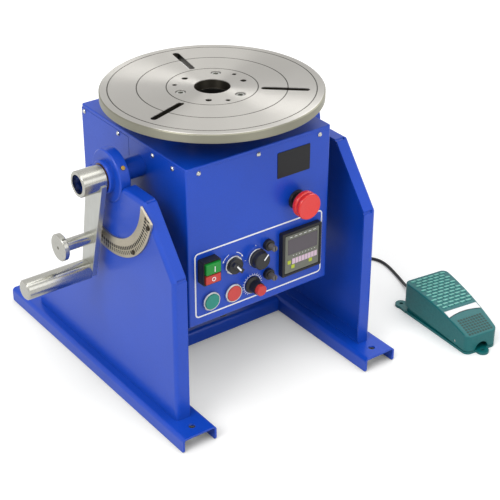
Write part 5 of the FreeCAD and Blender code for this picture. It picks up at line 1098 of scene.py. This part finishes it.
@dataclass
class Controls:
    """Marks that ride on the buttons and knobs, and the emergency stop's head; angles in degrees.

    The head's curves are pairs of how far in from its radius a point lies, and how far behind its front or in
    front of its back.
    """

    mark: float = 0.2
    on_bar: Point = (1.5, 8.5)
    on_corner: float = 0.4
    on_shift: Point = (2.0, -1.0)
    off_ring: Point = (3.3, 2.1)
    off_shift: float = 0.5
    pointer_width: float = 2.2
    front_curve: tuple[Point, ...] = (
        (3.2, 0.2), (2.2, 0.0), (1.0, 0.5), (0.2, 1.8), (0.0, 3.6), (0.3, 5.4), (1.5, 7.0), (1.7, 8.2),
        (0.9, 9.2), (0.0, 10.6))
    back_curve: tuple[Point, ...] = ((0.0, 3.4), (0.6, 2.2), (2.4, 1.0), (9.0, 1.0), (9.0, 5.0))
    dish: Point = (0.5, 0.45)
    roof: float = 5.9
    hub: float = 8.0
    bore: float = 4.1
    crease: float = 35.0

    def power_switch(self) -> None:
        """Plain I and O on the two switch buttons."""
        on, off = middle("power_on_button"), middle("power_off_button")
        on_face, off_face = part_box("power_on_button")[0].y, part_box("power_off_button")[0].y
        across, upward = self.on_shift
        bar = new_mesh("on_mark", prism(rounded(*self.on_bar, self.on_corner, 3), 0.0, self.mark))
        place = on_panel(on.x + across * MM, on.z + upward * MM, on_face)
        piece("on_mark", bar, "on_button", WHITE_PRINT, place)
        outer, inner = (circle(radius, 32) for radius in self.off_ring)
        ring = new_mesh("off_mark", ribbon(outer, inner, 0.0, self.mark))
        place = on_panel(off.x + self.off_shift * MM, off.z, off_face)
        piece("off_mark", ring, "off_button", WHITE_PRINT, place)

    def pointers(self) -> None:
        """White lines on the selectors' grips, from and to a distance from their middles."""
        for name, node, body, turn, start, stop in (
                ("direction_pointer", "direction_knob", "direction_selector", -52.0, -6.0, 5.0),
                ("mode_pointer", "mode_knob", "mode_selector", 47.0, 2.5, 13.0)):
            at = middle(node)
            line = new_mesh(name, prism(bar_outline(start, stop, self.pointer_width), 0.0, self.mark))
            place = on_panel(at.x, at.z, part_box(node)[0].y) @ Matrix.Rotation(math.radians(turn), 4, "Z")
            piece(name, line, body, WHITE_PRINT, place)

    def mushroom(self) -> None:
        """Emergency-stop head with a full rear flange, a waist and a flat face with a rolled rim."""
        low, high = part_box("estop_head")
        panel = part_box("head_shell")[0].y
        radius, front, back = (high.x - low.x) / 2 / MM, (panel - low.y) / MM, (panel - high.y) / MM
        profile = [(0.0, front - self.dish[0]), (radius * 0.5, front - self.dish[1])]
        profile += [(radius - inset, front - depth) for inset, depth in self.front_curve]
        profile += [(radius - inset, back + depth) for inset, depth in self.back_curve]
        profile += [(self.hub, profile[-1][1]), (self.hub, back), (self.bore, back),
                    (self.bore, front - self.roof), (0.0, front - self.roof)]
        place = on_panel((low.x + high.x) / 2, (low.z + high.z) / 2)
        cap = piece("estop_cap", new_mesh("estop_cap", lathe(profile)), "stop_mushroom", ESTOP_RED, place,
                    smooth=True)
        cap.data.set_sharp_from_angle(angle=math.radians(self.crease))
        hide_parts("estop_head")

    def build(self) -> None:
        """Every mark on a moving control, and the emergency stop's head."""
        self.power_switch()
        self.pointers()
        self.mushroom()


@dataclass(frozen=True)
class PrintedLayer:
    """One flat layer of the counter's film: its size, and the place of the middle of its underside."""

    name: str
    size: Point
    corner: float
    thickness: float
    finish: Finish
    at: Triple


@dataclass(frozen=True)
class PrintedRow:
    """One row of equal marks on the counter's face: the mark, the place of its middle, and how it repeats."""

    name: str
    mark: str
    size: Point
    corner: float
    thickness: float
    finish: Finish
    at: Point
    count: int
    pitch: float


@dataclass
class CounterFace:
    """Front of the panel counter: printed film, dark window, dots and keys; places from the face's middle."""

    recess: float = 1.0
    film_thickness: float = 0.3
    strip_at: Point = (5.0, -13.5)
    layers: tuple[PrintedLayer, ...] = (
        PrintedLayer("counter_film", (62.0, 62.0), 1.5, film_thickness, FILM_GREY, (0.0, 0.0, 0.0)),
        PrintedLayer("counter_window", (54.0, 25.0), 1.0, 0.3, SMOKED_WINDOW, (1.0, 11.5, film_thickness)),
        PrintedLayer("counter_strip", (46.0, 9.0), 0.8, 0.35, KEY_ROSE, (*strip_at, film_thickness)))
    rows: tuple[PrintedRow, ...] = (
        PrintedRow("counter_dots", "counter_dot", (1.6, 0.9), 0.3, 0.2, WHITE_PRINT, (4.0, -4.2), 8, 5.6),
        PrintedRow("counter_dashes", "counter_dash", (5.0, 0.8), 0.3, 0.2, WHITE_PRINT, (1.0, 27.5), 6, 8.6),
        PrintedRow("counter_gaps", "counter_gap", (0.7, 9.2), 0.2, 0.45, FILM_GREY, strip_at, 7, 5.75))
    key: float = 6.0
    key_corner: float = 0.9
    key_thickness: float = 0.5
    keys: tuple[tuple[str, float, float], ...] = (
        ("left_key", -23.5, -13.5), ("lower_key", -16.5, -22.0), ("right_key", 16.0, -21.5))
    # in metres: the rows lie on an arch so wide that it is flat, and hang from its centre
    flat_arch: float = 1000.0

    def build(self, repeat: RowRepeat) -> None:
        """Film, window, strip, rows of marks and membrane keys on the counter's face.

        Args:
            repeat: the tree that sets the rows out.
        """
        at = middle("counter_module")
        place = on_panel(at.x, at.z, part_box("counter_module")[0].y + self.recess * MM)
        for layer in self.layers:
            flat = prism(rounded(*layer.size, layer.corner), 0.0, layer.thickness)
            piece(layer.name, new_mesh(layer.name, flat), "head", layer.finish, place @ shift(*layer.at))
        place = place @ shift(0.0, 0.0, self.film_thickness)
        level = Matrix.Translation((0, 0, -self.flat_arch))
        for row in self.rows:
            mark = new_mesh(row.mark, prism(rounded(*row.size, row.corner, 2), 0.0, row.thickness))
            repeat.make(row.name, mark, "head", row.finish, place @ shift(*row.at) @ level, Columns=row.count,
                        Rows=1, Pitch_X=row.pitch * MM, Pitch_Y=MM, Stagger=0.0, Half_Width=1.0,
                        Narrowing=0.0, Arch=self.flat_arch, Crown_Y=0.0, Turn_Z=0.0)
        outline = rounded(self.key, self.key, self.key_corner, 3)
        key = new_mesh("counter_key", prism(outline, 0.0, self.key_thickness))
        for name, x, y in self.keys:
            piece(name, key.copy(), "head", KEY_LIME, place @ shift(x, y))


@dataclass
class TiltScale:
    """Painted shade over the index holes, and black graduations, on the index plate; angles in degrees."""

    start: float = -12.7
    pitch: float = 3.0
    count: int = 31
    hole: Point = (5.6, 3.4)
    hole_corner: float = 1.6
    hole_radius: float = 104.0
    line: Point = (5.4, 2.0)
    line_corner: float = 0.4
    line_radius: float = 110.5
    ink: float = 0.08

    def build(self, repeat: RoundRepeat) -> None:
        """A spot of painted shade over each index hole and a dark graduation line beside it.

        Args:
            repeat: the tree that sets the marks out.
        """
        axis = middle("trunnions")
        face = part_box("index_plate")[0].x
        stand = Matrix.Translation((face, axis.y, axis.z)) @ Matrix.Rotation(-math.pi / 2, 4, "Y")
        line = new_mesh("scale_line", prism(rounded(*self.line, self.line_corner, 3), 0.0, self.ink))
        # each spot is a dark sheet of painted shade over an index hole
        spot = new_mesh("index_hole_shade", prism(rounded(*self.hole, self.hole_corner, 5), 0.0, self.ink))
        # straight down is the drawing's -X, and towards the front is its -Y
        for name, mesh, radius in (("index_hole_shades", spot, self.hole_radius),
                                   ("tilt_scale", line, self.line_radius)):
            repeat.make(name, mesh, "base", HOLE_SHADE_AND_MARK_BLACK, stand, Count=self.count, Radius=radius * MM,
                        Start=math.pi + math.radians(self.start), Step=math.radians(self.pitch))


# ---------------------------------------------------------------- foot pedal
@dataclass(frozen=True)
class Relief:
    """One pattern on the tread: its mark, how far from the rear edge it starts, and how it repeats."""

    name: str
    mark: str
    outline: tuple[Point, ...]
    rise: float
    finish: Finish
    start: float
    columns: int
    rows: int
    pitch: Point
    stagger: float
    margin: float
    turn: float


@dataclass
class Tread:
    """Raised pattern with a painted highlight on its bars, painted band, and painted shade in the groove and
    the front pad's squares on the pedal's arched top.

    Sizes are millimetres on the pedal's own axes: X across it from its left edge, and Y from its rear edge.
    """

    width: float = 82.0
    front_width: float = 58.0
    length: float = 156.0
    overlap: float = 1.0
    at: Point = (300.0, -102.0)
    turn: float = -7.0
    rear_height: float = 55.0
    mid_height: float = 50.0
    front_height: float = 31.0
    root: float = -0.6
    # the bars' pale enamel is a painted highlight
    bars: Relief = Relief(
        "tread_bars", "tread_bar",
        ((-4.6, -1.2), (-2.6, -2.0), (4.6, -0.5), (4.6, 0.9), (2.4, 1.7), (-4.6, 0.4)),
        1.2, TREAD_HIGHLIGHT, 9.0, 8, 12, (11.4, 7.1), 0.5, 6.0, -12.0)
    # the front pad's dark squares are painted shade standing in for shaded pits
    squares: Relief = Relief(
        "tread_pit_shades", "tread_pit_shade", tuple(rounded(4.0, 3.7, 0.7, 3)), 0.12, TREAD_SHADE, 121.0, 11, 7,
        (5.2, 4.9), 0.0, 8.5, 0.0)
    band_rear: float = -96.0
    band_margin: float = 2.5
    band_from: float = 100.0
    band_thickness: float = 0.15
    groove_half: float = 0.8
    groove_inset: float = 1.0
    groove_thickness: float = 0.25
    crown: float = -105.5
    crown_sag: float = 9.0

    def arch(self) -> Triple:
        """Find the arc through the top's rear, middle and front heights.

        Returns:
            The centre's y and z, and the radius.
        """
        ya, yb, yc = self.overlap, -self.length / 2, -self.length - self.overlap
        za, zb, zc = self.rear_height, self.mid_height, self.front_height
        d = 2 * (ya * (zb - zc) + yb * (zc - za) + yc * (za - zb))
        y = ((ya**2 + za**2) * (zb - zc) + (yb**2 + zb**2) * (zc - za) + (yc**2 + zc**2) * (za - zb)) / d
        z = ((ya**2 + za**2) * (yc - yb) + (yb**2 + zb**2) * (ya - yc) + (yc**2 + zc**2) * (yb - ya)) / d
        return y, z, math.hypot(ya - y, za - z)

    def frame(self) -> Matrix:
        """From the pedal's own axes to where it stands."""
        spot = Matrix.Translation((self.at[0] * MM, self.at[1] * MM, FLOOR))
        return spot @ Matrix.Rotation(math.radians(self.turn), 4, "Z")

    def narrowing(self) -> float:
        """How much each side comes in for each millimetre of length."""
        return (self.width - self.front_width) / 2 / self.length

    def height(self, y: float) -> float:
        """Height of the top at a distance from the rear edge."""
        centre_y, centre_z, radius = self.arch()
        return centre_z + math.sqrt(radius**2 - (y - centre_y) ** 2)

    def crown_line(self, x: float) -> float:
        """Rear edge of the front pad, an arc that is highest in the middle."""
        share = (x - self.width / 2) / (self.width / 2)
        return self.crown - self.crown_sag * share * share

    def strip(self, name: str, rear: Callable[[float], float], front: Callable[[float], float], left: float,
              thick: float) -> bpy.types.Mesh:
        """A strip across the tread, laid on its arched top.

        Args:
            name: name of the mesh.
            rear: the rear edge's y as a function of x.
            front: the front edge's y as a function of x.
            left: how far in from each side the strip ends.
            thick: its thickness.

        Returns:
            The strip's mesh, on the pedal's own axes.
        """
        across, deep = 24, 8
        right = self.width - left

        def fill(work: bmesh.types.BMesh) -> None:
            """Make the two grids of corners, their faces and the wall round them."""
            layers = []
            for z in (0.0, thick):
                grid = []
                for i in range(across + 1):
                    x = left + (right - left) * i / across
                    ys = [rear(x) + (front(x) - rear(x)) * j / deep for j in range(deep + 1)]
                    grid.append([work.verts.new((x * MM, y * MM, z * MM)) for y in ys])
                layers.append(grid)
                for i in range(across):
                    for j in range(deep):
                        work.faces.new((grid[i][j], grid[i + 1][j], grid[i + 1][j + 1], grid[i][j + 1]))
            low, high = layers
            rim = [(i, 0) for i in range(across + 1)] + [(across, j) for j in range(1, deep + 1)]
            rim += [(i, deep) for i in range(across - 1, -1, -1)] + [(0, j) for j in range(deep - 1, 0, -1)]
            for (a, b), (c, d) in zip(rim, rim[1:] + rim[:1]):
                work.faces.new((low[a][b], low[c][d], high[c][d], high[a][b]))

        mesh = new_mesh(name, fill)
        for vertex in mesh.vertices:
            vertex.co.z += self.height(vertex.co.y / MM) * MM
        return mesh

    def pattern(self, rows: RowRepeat, relief: Relief) -> None:
        """Set one pattern out over the arched and narrowing top.

        Args:
            rows: the tree that sets it out.
            relief: the pattern.
        """
        centre_y, centre_z, radius = self.arch()
        narrowing = self.narrowing()
        half = self.width / 2 - relief.margin - relief.start * narrowing
        mark = new_mesh(relief.mark, prism(relief.outline, self.root, relief.rise))
        rows.make(relief.name, mark, "tread", relief.finish,
                  self.frame() @ shift(self.width / 2, -relief.start, centre_z), Columns=relief.columns,
                  Rows=relief.rows, Pitch_X=relief.pitch[0] * MM, Pitch_Y=relief.pitch[1] * MM,
                  Stagger=relief.stagger, Half_Width=half * MM, Narrowing=narrowing, Arch=radius * MM,
                  Crown_Y=(centre_y + relief.start) * MM, Turn_Z=math.radians(relief.turn))

    def build(self, rows: RowRepeat) -> None:
        """Raised bars in a painted highlight, the front pad's small squares in painted shade, the painted
        band and the groove before it as a strip of painted shade.

        Args:
            rows: the tree that sets the patterns out.
        """
        self.pattern(rows, self.bars)
        self.pattern(rows, self.squares)
        side, half = self.narrowing() * self.band_from + self.band_margin, self.groove_half
        band = self.strip("tread_band", lambda x: self.band_rear, lambda x: self.crown_line(x) + half, side,
                          self.band_thickness)
        piece("tread_band", band, "tread", WHITE_PRINT, self.frame(), smooth=True)
        # a dark strip of painted shade where the groove lies
        groove = self.strip("tread_shade_in_groove", lambda x: self.crown_line(x) + half,
                            lambda x: self.crown_line(x) - half, side + self.groove_inset,
                            self.groove_thickness)
        piece("tread_shade_in_groove", groove, "tread", TREAD_SHADE, self.frame(), smooth=True)


def dress_pieces() -> None:
    """Build every sub-assembly in order."""
    around, rows = RoundRepeat(), RowRepeat()
    PanelPrint().build(around)
    Controls().build()
    CounterFace().build(rows)
    TiltScale().build(around)
    Tread().build(rows)


def main() -> None:
    """Make the camera and the lead first, then the light, the finishes and the small pieces."""
    logging.basicConfig(level=logging.INFO, format="%(name)s: %(message)s")
    studio = Studio()
    studio.camera()
    PedalLead().build()
    studio.light()
    studio.floor()
    dress_nodes()
    dress_pieces()


if __name__ == "__main__":
    main()
